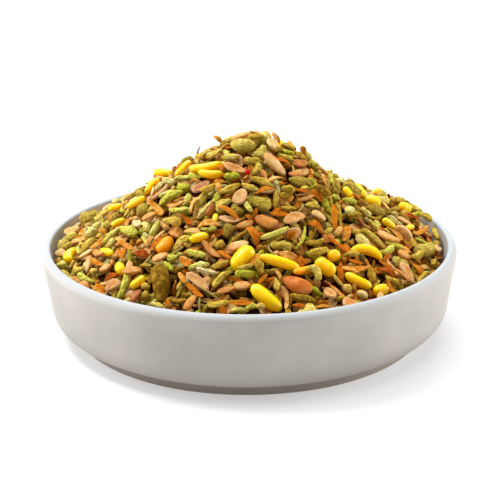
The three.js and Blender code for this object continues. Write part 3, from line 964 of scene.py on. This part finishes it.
def lay_by_hand(name, spot, half, normal, long_axis, point):
    """Lays a seed where it shows at its spot, on others that carry it. Gives how much too low it is."""
    along = np.repeat(long_axis[None], len(SHIFTS), axis=0)
    axes = seed_axes(normal, along, SHIFTS[:, 2:], 0.0 * SHIFTS[:, 2:])
    x, y = inside_wall(axes, half, point[0] + SHIFTS[:, 0], point[1] + SHIFTS[:, 1])
    wanted = point[2] - SHIFTS[:, 1] * math.tan(VIEW_ELEVATION)
    for _ in range(MOST_PROPS):
        height, _, _ = drop(axes, half, x, y)
        best = int(np.argmin(np.abs(height - wanted) + SHIFT_COST))
        gap = wanted[best] - height[best]
        if gap < LOW:
            break
        prop(x[best], y[best], gap)
    most_proud = 2 * half[0] if spot.stands else LAST_PROUD if name in LAST else MOST_PROUD
    pressed = max(0.0, -gap - most_proud)
    bend = spot.bend or random.normal(0, KINDS[name].bend)
    lay(name, axes[best], half, (x[best], y[best], height[best] - pressed), spot.tone, bend, True)
    return gap


print(f"each seed laid by hand is tried in {len(SHIFTS)} ways")

# %% [markdown]
# The heap, layer by layer
# Thick seeds go first, on ground that a filling round has left lower by their thickness, then thinner
# ones on higher ground, so that all end up level with their neighbours. Then the heap is filled to its
# surface, small bits and husks go into the gaps, loose seeds are scattered, and the red bead and the
# stalk are set on top.

# %% Building the heap
THICK, MEDIUM = 2.7, 1.9  # mm, thickness from which a seed is laid early
Layer = namedtuple("Layer", "below thinnest thickest")  # depth filled to, and the seeds laid there
LAYERS = [Layer(3.0, THICK, NO_LIMIT), Layer(2.2, MEDIUM, THICK), Layer(1.4, 0.0, MEDIUM)]
LAYER_ROOM, TOP_ROOM, GAP_ROOM = 1.5, 2.3, 1.7  # mm of free height that still takes a seed
GAP_DEPTH = 0.7  # mm below the surface to which gaps are filled
IN_GAPS = {"bit": 0.6, "husk": 0.3, "stalk": 0.1}  # shares of the small kinds
SCATTER_TRIES = 1280
LOOSE_PROUD = 2.4  # mm that a loose seed may stand above the surface

for layer in LAYERS:
    group = [seed for seed in hand
             if seed.name not in LAST and layer.thinnest <= 2 * seed.half[2] < layer.thickest]
    fill(layer.below, LAYER_ROOM, region_shares)
    gaps = np.array([lay_by_hand(*seed) for seed in group])
    print(f"laid by hand: {len(group)}, too low {(gaps > LOW).sum()}, too high {(gaps < -MOST_PROUD).sum()}")
fill(0.0, TOP_ROOM, region_shares)
gap_shares = np.array([IN_GAPS.get(name, 0.0) for name in names])
fill(GAP_DEPTH, GAP_ROOM, np.array([gap_shares, gap_shares]))
scatter(SCATTER_TRIES, LOOSE_PROUD)
for seed in hand:
    if seed.name in LAST:
        lay_by_hand(*seed)
print("seeds in all:", sum(len(seeds) for seeds in laid.values()))

# %% [markdown]
# From one seed to thousands
# Each kind is modelled once or a few times, from a ball with few faces. The copies could be instances,
# but then all would be alike. So they are made as arrays: stretched to each seed's own size, bent, made
# a little lumpy, turned and moved to where the seed rests. All seeds of a kind are one mesh. Two numbers
# go with every point for the materials: the seed's tone, and how deep the point lies in a groove or how
# near to a rim.

# %% Forms of a seed
ON_AXIS = 1e-6
ON_RIM = 0.01  # height of a disc's points that counts as its rim


def round_mesh(sides, rings, turn):
    """A unit ball turned by a matrix, as points and faces."""
    shape = bmesh.new()
    bmesh.ops.create_uvsphere(shape, u_segments=sides, v_segments=rings, radius=1.0, matrix=turn)
    bmesh.ops.recalc_face_normals(shape, faces=shape.faces[:])
    shape.verts.index_update()
    points = np.array([vertex.co[:] for vertex in shape.verts])
    faces = [[vertex.index for vertex in face.verts] for face in shape.faces]
    shape.free()
    return points, faces


def ball(sides, rings):
    """A unit ball with its poles on X, as points and faces."""
    return round_mesh(sides, rings, Matrix.Rotation(math.pi / 2, 4, "Y"))


def disc(sides, rings):
    """A unit ball with its poles on Z and most of its points near the rim, as points and faces."""
    points, faces = round_mesh(sides, rings, Matrix.Identity(4))
    radius = np.hypot(points[:, 0], points[:, 1])
    points[:, :2] *= (np.maximum(radius, ON_AXIS) ** -0.5)[:, None]
    return points, faces


def with_faces(points, upper, lower):
    """The disc's points with the heights of its two faces taken from functions of the radius."""
    radius = np.hypot(points[:, 0], points[:, 1])
    under = np.where(points[:, 2] < -ON_RIM, lower(radius), 0.0)
    return np.column_stack([points[:, :2], np.where(points[:, 2] > ON_RIM, upper(radius), under)])


def with_section(points, section):
    """The ball's points with the radius about X taken from a section, a function of X."""
    radius = np.hypot(points[:, 1], points[:, 2])
    wanted = section(np.clip(points[:, 0], -1, 1))
    scale = np.where(radius > ON_AXIS, wanted / np.maximum(radius, ON_AXIS), 0.0)
    return points * np.column_stack([np.ones_like(scale), scale, scale])


def blunt(power, root):
    """A section that is blunter the higher the power, and more pointed the nearer the root is to 1."""
    return lambda x: (1 - np.abs(x) ** power) ** root


def stretched(points, y_scale, z_scale):
    """The points stretched across the seed and out of its face, by numbers or one for each point."""
    same = np.ones(len(points))
    return points * np.column_stack([same, y_scale * same, z_scale * same])


def along_grooves(points, count):
    """How deep each point lies in one of the grooves along a seed, from 0 to 1."""
    return (1 - np.cos(count * np.arctan2(points[:, 2], points[:, 1]))) / 2


def near_rim(points, power):
    """How near each point is to the rim of a flat seed, from 0 to 1."""
    return np.clip(np.hypot(points[:, 0], points[:, 1]), 0, 1) ** power


print("seeds of each kind:", {name: len(seeds) for name, seeds in laid.items()})

# %% Seeds as joined meshes
Shape = namedtuple("Shape", "points faces shade browned", defaults=(0.0,))  # browned: how much darker than its tone a point is painted, as shade


def copies(seeds, points, lumps, rough, curl):
    """Points of one shape for each of these seeds. Curl says how much of a bend is out of the face."""
    count = len(seeds)
    half = np.array([seed.half for seed in seeds])
    bend = np.array([seed.bend for seed in seeds])[:, None]
    phases = random.uniform(0, 2 * math.pi, (5, count, 1))  # where each wave starts on each seed
    x, y, z = points[:, 0], points[:, 1], points[:, 2]
    # three waves of unlike lengths swell the seed, and each point gets some roughness of its own
    swell = 1 + lumps * np.sin(2.3 * x + phases[0]) + lumps * np.sin(3.1 * y + 1.7 * x + phases[1])
    swell = swell + 0.6 * lumps * np.sin(5.2 * z - 4.2 * x + phases[2])
    swell = swell + random.normal(0, 1, (count, len(points))) * rough
    # the bend lifts both ends and lowers the middle, and one more wave makes the seed a little crooked
    bow = bend * half[:, :1] * (x ** 2 - 0.4)
    wave = 1.5 * lumps * half[:, 1:2] * np.sin(2.8 * x + phases[4])
    local_x = half[:, :1] * x * (1 + 0.5 * lumps * np.sin(phases[3]))
    local_y = half[:, 1:2] * y * swell + bow * (1 - curl) + wave
    local_z = half[:, 2:3] * z * swell + bow * curl
    axes = np.array([seed.axes for seed in seeds])
    centres = np.array([seed.centre for seed in seeds])
    local = np.stack([local_x, local_y, local_z], axis=2)
    return (np.einsum("nij,npj->npi", axes, local) + centres[:, None, :]).reshape(-1, 3)


def join_seeds(name, shapes, lumps, rough, curl):
    """One mesh of all seeds of a kind, which take turns with its shapes."""
    corners, joined, tones, shades = [], [], [], []
    first = 0
    for number, shape in enumerate(shapes):
        seeds = laid[name][number::len(shapes)]
        if not seeds:
            continue
        corners.append(copies(seeds, shape.points, lumps, rough, curl))
        for seed in seeds:
            joined += [[corner + first for corner in face] for face in shape.faces]
            first += len(shape.points)
        tone = np.repeat([seed.tone for seed in seeds], len(shape.points))
        # the tone also carries a shape's painted rim shade
        tones.append(tone + np.tile(shape.browned + 0 * shape.shade, len(seeds)))
        shades.append(np.tile(shape.shade, len(seeds)))
    mesh = bpy.data.meshes.new(name)
    mesh.from_pydata((np.concatenate(corners) * MM).tolist(), [], joined)
    for label, values in (("tone", tones), ("shade", shades)):
        values = np.concatenate(values).astype(np.float32)
        mesh.attributes.new(label, "FLOAT", "POINT").data.foreach_set("value", values)
    return mesh


def heap_piece(kind, name, skin, shapes, lumps, rough=0.0, curl=0.0):
    """All seeds of a kind as one piece. They are lumpy in large, rough from point to point, and curl."""
    mesh = join_seeds(kind, shapes, lumps, rough, curl)
    finish_piece(mesh, name, [skin], "mukhwas")


print("kinds to model:", ", ".join(name for name, seeds in laid.items() if seeds))

# %% [markdown]
# The seeds' skins
# All skins are built the same way. The tone picks a colour between pale and dark for the whole seed,
# a fine noise mottles it, larger blotches bring in a second colour, and the shade darkens grooves or
# lightens rims. The darker grooves are partly the seed's own colour and partly painted shade. The same
# noise raises the surface, by its relief in millimetres. What differs is named for what it is: a sugar
# shell is smooth and lets light in, a seed coat is dry and dull.

# %% Skin of a seed
BLOTCH = 2.2  # how much larger a blotch of another colour is than the mottling
NOISE_LOW, NOISE_HIGH = 0.35, 0.65  # most of the noise lies between these
BLOTCH_LOW, BLOTCH_HIGH = 0.45, 0.65  # where a blotch begins, and where it is full
Shade = namedtuple("Shade", "colour share")
Patch = namedtuple("Patch", "colour share size")  # size of the mottling in mm
NO_SHADE = Shade("#000000", 0.0)
# smooth, with a soft highlight, and glowing from the light that gets in
SUGAR = {"Roughness": 0.3, "Specular IOR Level": 0.35, "Subsurface Weight": 1.0,
         "Subsurface Scale": 3.5 * MM, "Subsurface Radius": (1.0, 0.55, 0.1)}
# dull, as papery seed coats are
DRY = {"Roughness": 0.6, "Specular IOR Level": 0.03}
# dull too, with a glint of sugar grains
CRUST = {"Roughness": 0.5, "Specular IOR Level": 0.08}
# a hard shell with a small highlight
GLOSSY = {"Roughness": 0.35, "Specular IOR Level": 0.1}
# a little oily, and warm where light gets in at the edges
ROASTED = {"Roughness": 0.45, "Specular IOR Level": 0.1, "Subsurface Weight": 0.25,
           "Subsurface Scale": 1.0 * MM, "Subsurface Radius": (1.0, 0.55, 0.2)}


def seed_skin(name, tones, patch, finish, mottle, relief, shade=NO_SHADE):
    """A seed's skin. Tones are colours from pale to dark, mottle is how far they vary on one seed."""
    material, tree, shader = new_material(name)
    tone = add_node(tree, "ShaderNodeAttribute", settings={"attribute_name": "tone"})
    depth = add_node(tree, "ShaderNodeAttribute", settings={"attribute_name": "shade"})
    places = np.linspace(0, 1, len(tones))
    order = [0, len(tones) - 1] + list(range(1, len(tones) - 1))
    place = add_node(tree, "ShaderNodeTexCoord")
    spots = add_node(tree, "ShaderNodeTexNoise", inputs={
        "Vector": place.outputs["Object"], "Scale": 1 / (patch.size * MM), "Detail": 3.0})
    uneven = add_node(tree, "ShaderNodeMapRange", inputs={
        "Value": spots.outputs["Fac"], "From Min": NOISE_LOW, "From Max": NOISE_HIGH,
        "To Min": mottle, "To Max": -mottle})
    mottled = add_node(tree, "ShaderNodeMath", settings={"operation": "ADD"},
                       inputs={0: tone.outputs["Fac"], 1: uneven.outputs["Result"]})
    ramp = add_node(tree, "ShaderNodeValToRGB", inputs={"Fac": mottled.outputs["Value"]},
                    stops=[(places[i], linear(tones[i])) for i in order])
    blotches = add_node(tree, "ShaderNodeTexNoise", inputs={
        "Vector": place.outputs["Object"], "Scale": 1 / (BLOTCH * patch.size * MM), "Detail": 1.0})
    spotted = add_node(tree, "ShaderNodeMapRange", inputs={
        "Value": blotches.outputs["Fac"], "From Min": BLOTCH_LOW, "From Max": BLOTCH_HIGH,
        "To Min": 0.0, "To Max": patch.share})
    patched = add_node(tree, "ShaderNodeMix", settings={"data_type": "RGBA"}, inputs={
        FACTOR: spotted.outputs["Result"], FIRST: ramp.outputs["Color"], SECOND: linear(patch.colour)})
    # the shade: grooves darker, partly as painted shade, or rims paler
    amount = add_node(tree, "ShaderNodeMath", settings={"operation": "MULTIPLY"},
                      inputs={0: depth.outputs["Fac"], 1: shade.share})
    shaded = add_node(tree, "ShaderNodeMix", settings={"data_type": "RGBA"}, inputs={
        FACTOR: amount.outputs["Value"], FIRST: patched.outputs[MIXED], SECOND: linear(shade.colour)})
    tree.links.new(shaded.outputs[MIXED], shader.inputs["Base Color"])
    bump = add_node(tree, "ShaderNodeBump", inputs={
        "Height": spots.outputs["Fac"], "Distance": relief * MM})
    tree.links.new(bump.outputs["Normal"], shader.inputs["Normal"])
    for socket, value in finish.items():
        shader.inputs[socket].default_value = value
    return material


print("a sugar shell lets light in by", round(SUGAR["Subsurface Scale"] / MM, 1), "mm")

# %% [markdown]
# Yellow candies
# Fennel is rolled in coat after coat of sugar syrup until it is smooth, blunt and glossy. A capsule would
# be too even, so a ball gets a blunt section and is then bent and swollen a little for each candy.
# These are the brightest things in the heap, and they have more faces than the common seeds.

# %% Candies
points, faces = ball(14, 12)
candy = with_section(points, blunt(3.4, 0.5))
candy_skin = seed_skin(
    "sugar_shell", ["#FFD204", "#FFC502", "#F88C00"], Patch("#FFB800", 0.4, 2.5), SUGAR,
    mottle=0.06, relief=0.03)
heap_piece("candy", "sugar_coated_fennel", candy_skin, [Shape(candy, faces, np.zeros(len(points)))],
           lumps=0.03)

# %% [markdown]
# Fennel
# These are slim seeds with pointed ends and five pale ribs, olive in the grooves. Some are whole, some
# are halves like little boats, and some are wrinkled, so three forms take turns. The grooves are real
# relief, and their depth also goes to the skin, which is darker there: partly the seed's own colour,
# partly painted shade.

# %% Fennel
points, faces = ball(10, 7)
groove = along_grooves(points, 5)
spindle = with_section(points, blunt(2.2, 0.6))
whole = stretched(spindle, 1 - 0.28 * groove, 1 - 0.28 * groove)
boat = stretched(spindle, 1.1 - 0.12 * groove, np.where(points[:, 2] > 0, 0.9, 0.45) - 0.12 * groove)
wrinkle = 1 + 0.14 * np.sin(5.5 * points[:, 0]) - 0.16 * groove
wrinkled = stretched(spindle, wrinkle, wrinkle)
# the shade colour darkens the grooves: partly the seed's own colour, partly painted shade
fennel_skin = seed_skin(
    "dry_fennel", ["#F0E2A2", "#E4CC5A", "#C8A234", "#9E7822", "#884E20"], Patch("#A88A28", 0.4, 1.0),
    DRY, mottle=0.17, relief=0.8, shade=Shade("#5A3A06", 0.5))
fennel_shapes = [Shape(form, faces, groove) for form in (whole, boat, wrinkled)]
heap_piece("fennel", "fennel_seeds", fennel_skin, fennel_shapes, lumps=0.12, rough=0.1, curl=0.4)

# %% [markdown]
# Crusted fennel
# Some seeds are caught in a thick grainy crust, plump and lumpy, so that little of the seed's own shape
# is left. A blunt ball with strong swells and rough points gives that, and no grooves are needed.

# %% Crusted fennel
points, faces = ball(10, 8)
lump = with_section(points, blunt(2.5, 0.5))
crusted_skin = seed_skin(
    "grainy_crust", ["#EAD88A", "#D4BC52", "#B49832", "#907422", "#7C4A1E"], Patch("#98862A", 0.4, 0.8),
    CRUST, mottle=0.16, relief=1.3)
crusted_shapes = [Shape(lump, faces, np.zeros(len(points)))]
heap_piece("crusted_fennel", "crusted_fennel", crusted_skin, crusted_shapes,
           lumps=0.18, rough=0.13, curl=0.4)

# %% [markdown]
# Green fennel
# Young seeds under a thin rough crust of sugar are light green and stick-like, with blunter ends than
# ripe ones. The crust fills most of each groove, so the ribs are shallow and a wave runs along them.

# %% Green fennel
points, faces = ball(10, 7)
groove = along_grooves(points, 5)
stick = with_section(points, blunt(2.8, 0.5))
crust = 1 + 0.08 * np.sin(7 * points[:, 0]) - 0.1 * groove
# the shade colour darkens the grooves: partly the crust's own colour, partly painted shade
green_skin = seed_skin(
    "thin_sugar_crust", ["#ECE29C", "#DACE58", "#BCB62A", "#8E900E"], Patch("#B0B430", 0.4, 0.9), CRUST,
    mottle=0.16, relief=1.1, shade=Shade("#7A7410", 0.35))
green_shapes = [Shape(stretched(stick, crust, crust), faces, groove)]
heap_piece("green_fennel", "green_fennel", green_skin, green_shapes, lumps=0.1, rough=0.09, curl=0.3)

# %% [markdown]
# Split coriander
# Hulled coriander falls into flat halves that are roasted, peach to tan. Most are domed or creased, with
# a darker edge that is painted shade where the dome turns from the light, and some lie cup up with a
# paler rim. A ball squeezed flat has too few points at its edge, so a disc with its points near the rim
# is shaped by one function for each face.

# %% Splits
points, faces = disc(12, 6)
cupped = with_faces(points, lambda r: 0.3 + 0.4 * r ** 2, lambda r: 0.45 * r ** 2 - 1)
domed = with_faces(points, lambda r: np.sqrt(1 - 0.88 * r ** 2), lambda r: 0.3 * r ** 2 - 0.6)
crease = 0.45 * np.exp(-12 * points[:, 1] ** 2) * (points[:, 2] > 0)
creased = domed - np.column_stack([0 * points[:, :2], crease])
taper = 1 - 0.14 * points[:, 0]
plain = np.zeros(len(points))
# painted shade: domed and creased halves are darker at the edge, where the dome turns from the light
browned = 0.3 * near_rim(points, 4)
split_shapes = [Shape(stretched(domed, taper, 1.0), faces, plain, browned),
                Shape(stretched(creased, taper, 1.0), faces, plain, browned),
                Shape(stretched(cupped, taper, 1.0), faces, near_rim(points, 6))]
split_skin = seed_skin(
    "roasted_split", ["#D4B884", "#CC9E5C", "#BC7C32", "#905030"], Patch("#BE7634", 0.45, 1.2), ROASTED,
    mottle=0.18, relief=0.12, shade=Shade("#F0D0A0", 0.5))
heap_piece("split_coriander", "split_coriander", split_skin, split_shapes,
           lumps=0.07, rough=0.03, curl=0.7)

# %% [markdown]
# Melon kernels
# The large brown-orange kernel at the front is a roasted melon seed without its shell: domed, smooth, and
# broader at one end like an almond. There are only a few, so they can have more faces.

# %% Kernels
points, faces = disc(18, 10)
kernel = with_faces(points, lambda r: 1.2 * np.sqrt(1 - 0.95 * r ** 2), lambda r: 0.3 * r ** 2 - 0.6)
almond = stretched(kernel, 1 + 0.2 * points[:, 0], 1 + 0.1 * points[:, 0])
kernel_skin = seed_skin(
    "roasted_kernel", ["#DA9654", "#BE6A24", "#8C3C00"], Patch("#A85010", 0.45, 1.6), ROASTED,
    mottle=0.25, relief=0.1, shade=Shade("#E09A50", 0.25))
heap_piece("melon_kernel", "melon_kernels", kernel_skin, [Shape(almond, faces, near_rim(points, 4))],
           lumps=0.03, rough=0.01, curl=0.5)

# %% [markdown]
# Husks
# Thin slivers of seed coat, orange to rust, curl as they dry: across their width, along their length,
# and some with a twist. Each form is a thin ball bowed by a small formula, and three take turns.

# %% Husks
points, faces = ball(8, 8)
sliver = with_section(points, blunt(2.0, 0.6))
flake = with_section(points, lambda x: blunt(2.6, 0.55)(x) * (1 + 0.15 * x))
husk_shapes = []
for form, cup, twist in ((sliver, 1.0, 0.0), (flake, 0.7, 0.4), (flake, 0.4, -0.4)):
    bowed = form[:, 1] ** 2 * cup + form[:, 0] * form[:, 1] * twist - cup / 3
    curled = np.column_stack([form[:, :2], 0.55 * form[:, 2] + bowed])
    husk_shapes.append(Shape(curled, faces, near_rim(points, 3)))
husk_skin = seed_skin(
    "dry_husk", ["#DAAE66", "#BC781C", "#A85604", "#7A2600"], Patch("#AC5400", 0.4, 1.0), DRY,
    mottle=0.18, relief=0.3, shade=Shade("#D89030", 0.2))
heap_piece("husk", "husks", husk_skin, husk_shapes, lumps=0.1, rough=0.02, curl=0.8)

# %% [markdown]
# Broken seeds
# Every such mix has crumbs of broken seed that collect in the gaps. They are small and in shade, so a
# ball with very few faces and rough points is enough.

# %% Broken seeds
points, faces = ball(6, 5)
# the shade colour darkens the grooves: partly the seed's own colour, partly painted shade
bit_skin = seed_skin(
    "broken_seed", ["#D8AC60", "#B07C2C", "#845014", "#5A2E08"], Patch("#8A6A1C", 0.5, 1.0), DRY,
    mottle=0.2, relief=0.5, shade=Shade("#5A3A06", 0.3))
heap_piece("bit", "broken_seeds", bit_skin, [Shape(points, faces, along_grooves(points, 3))],
           lumps=0.15, rough=0.15, curl=0.4)

# %% [markdown]
# Coriander seeds
# A few coriander seeds are still whole: small dry balls with shallow ribs from pole to pole, darker
# between them, partly as painted shade.

# %% Coriander
points, faces = ball(12, 8)
groove = along_grooves(points, 6)
ribbed = stretched(points, 1 - 0.06 * groove, 1 - 0.06 * groove)
# the shade colour darkens between the ribs: partly the seed's own colour, partly painted shade
coriander_skin = seed_skin(
    "dry_coriander", ["#ECD498", "#DEB44A", "#B2862A"], Patch("#A08828", 0.6, 1.1), DRY,
    mottle=0.25, relief=0.3, shade=Shade("#6B4E14", 0.4))
heap_piece("coriander", "coriander_seeds", coriander_skin, [Shape(ribbed, faces, groove)],
           lumps=0.05, rough=0.03)

# %% [markdown]
# Pumpkin seed
# The large dark seed at the lower left is plump, olive-brown and a little narrower at its lower end. It is
# made as the kernels are, with a rougher skin.

# %% Pumpkin seed
points, faces = disc(20, 12)
broad = with_faces(points, lambda r: 1.1 * np.sqrt(1 - 0.97 * r ** 2), lambda r: 0.4 * r ** 2 - 0.7)
broad = stretched(broad, 1 - 0.12 * points[:, 0], 1.0)
pumpkin_skin = seed_skin(
    "pumpkin_seed_skin", ["#B08428", "#78580C", "#442800"], Patch("#6A4A0A", 0.5, 1.4), DRY,
    mottle=0.35, relief=0.6, shade=Shade("#A88834", 0.2))
heap_piece("pumpkin_seed", "pumpkin_seeds", pumpkin_skin, [Shape(broad, faces, near_rim(points, 8))],
           lumps=0.06, rough=0.015, curl=0.5)

# %% [markdown]
# The red bead
# One red sugar bead lies near the top. It is a small glossy ball, and the only red in the heap.

# %% Red bead
points, faces = ball(12, 8)
bead_skin = seed_skin(
    "red_sugar_shell", ["#C0140E", "#B0100A"], Patch("#9C0C06", 0.4, 1.0), GLOSSY,
    mottle=0.0, relief=0.05)
heap_piece("red_bead", "red_sugar_bead", bead_skin, [Shape(points, faces, np.zeros(len(points)))],
           lumps=0.02)

# %% [markdown]
# Dry stalks
# Bits of the stalks that bore the fennel are left in the mix, thin and straw-coloured. One stands up at
# the left outline. A thin ball with nearly square ends makes a twig.

# %% Stalks
points, faces = ball(6, 6)
twig = with_section(points, blunt(6, 0.5))
stalk_skin = seed_skin(
    "dry_stalk", ["#BCA85E", "#927E3E"], Patch("#7A6830", 0.5, 1.0), DRY,
    mottle=0.2, relief=0.1)
heap_piece("stalk", "dry_stalks", stalk_skin, [Shape(twig, faces, np.zeros(len(points)))],
           lumps=0.05, rough=0.05, curl=0.5)

# %% [markdown]
# Floor
# The photograph is a table-top shot on pure white. A white floor in soft light still comes out grey near
# the bowl, so the paper glows a little, as it would on a light table. That leaves only a faint shadow.

# %% Floor
FLOOR_SIDE = 8.0  # metres
PAPER_GLOW = 0.42
floor_shape = bmesh.new()
bmesh.ops.create_grid(floor_shape, x_segments=1, y_segments=1, size=FLOOR_SIDE / 2)
floor_mesh = bpy.data.meshes.new("floor")
floor_shape.to_mesh(floor_mesh)
floor_shape.free()
floor = bpy.data.objects.new("floor", floor_mesh)
bpy.context.scene.collection.objects.link(floor)
paper, _, paper_shader = new_material("white_paper_sweep")
paper_shader.inputs["Base Color"].default_value = linear("#C6C6C6")
paper_shader.inputs["Emission Color"].default_value = linear("#FFFFFF")
paper_shader.inputs["Emission Strength"].default_value = PAPER_GLOW
paper_shader.inputs["Roughness"].default_value = 0.9
paper_shader.inputs["Specular IOR Level"].default_value = 0.0
floor_mesh.materials.append(paper)
print(f"floor: {FLOOR_SIDE} m across")

# %% [markdown]
# Light
# Big soft lights stand at the sides, behind and above, and little comes from the front, so the bowl's
# near side is its darkest. One smaller light from the upper left gives the seeds a lit and a shaded side.
# Large area lights have the same soft edges as a photographer's soft boxes, and a dim white world stands
# for the room.

# %% Lights
ROOM_LIGHT = 0.1
HEAP_MIDDLE, BOWL_MIDDLE = (0, 0, 0.03), (0, 0, 0.02)  # metres


def soft_light(name, place, aim, width, height, power):
    """An area light at a place, turned towards a point, in metres and watts."""
    data = bpy.data.lights.new(name, "AREA")
    data.shape = "RECTANGLE"
    data.size = width
    data.size_y = height
    data.energy = power
    light = bpy.data.objects.new(name, data)
    light.location = place
    light.rotation_euler = (Vector(aim) - Vector(place)).to_track_quat("-Z", "Y").to_euler()
    bpy.context.scene.collection.objects.link(light)


soft_light("top_light", (-0.05, 0.1, 1.1), HEAP_MIDDLE, width=0.9, height=0.9, power=8.2)
soft_light("key_light", (-0.5, 0.2, 1.1), HEAP_MIDDLE, width=0.45, height=0.45, power=12.5)
soft_light("front_light", (-0.1, -0.75, 1.0), HEAP_MIDDLE, width=1.0, height=0.6, power=1.2)
soft_light("left_light", (-1.05, 0.25, 0.4), BOWL_MIDDLE, width=0.8, height=0.7, power=10.6)
soft_light("right_light", (1.1, 0.15, 0.35), BOWL_MIDDLE, width=0.8, height=0.6, power=12.0)
soft_light("back_light", (0.0, 1.2, 0.7), BOWL_MIDDLE, width=1.2, height=0.8, power=9.0)
world = bpy.data.worlds.new("studio")
world.use_nodes = True
world.node_tree.nodes["Background"].inputs["Color"].default_value = linear("#FFFFFF")
world.node_tree.nodes["Background"].inputs["Strength"].default_value = ROOM_LIGHT
bpy.context.scene.world = world
bpy.context.scene.view_settings.view_transform = "Standard"
print("lights:", len(bpy.data.lights))
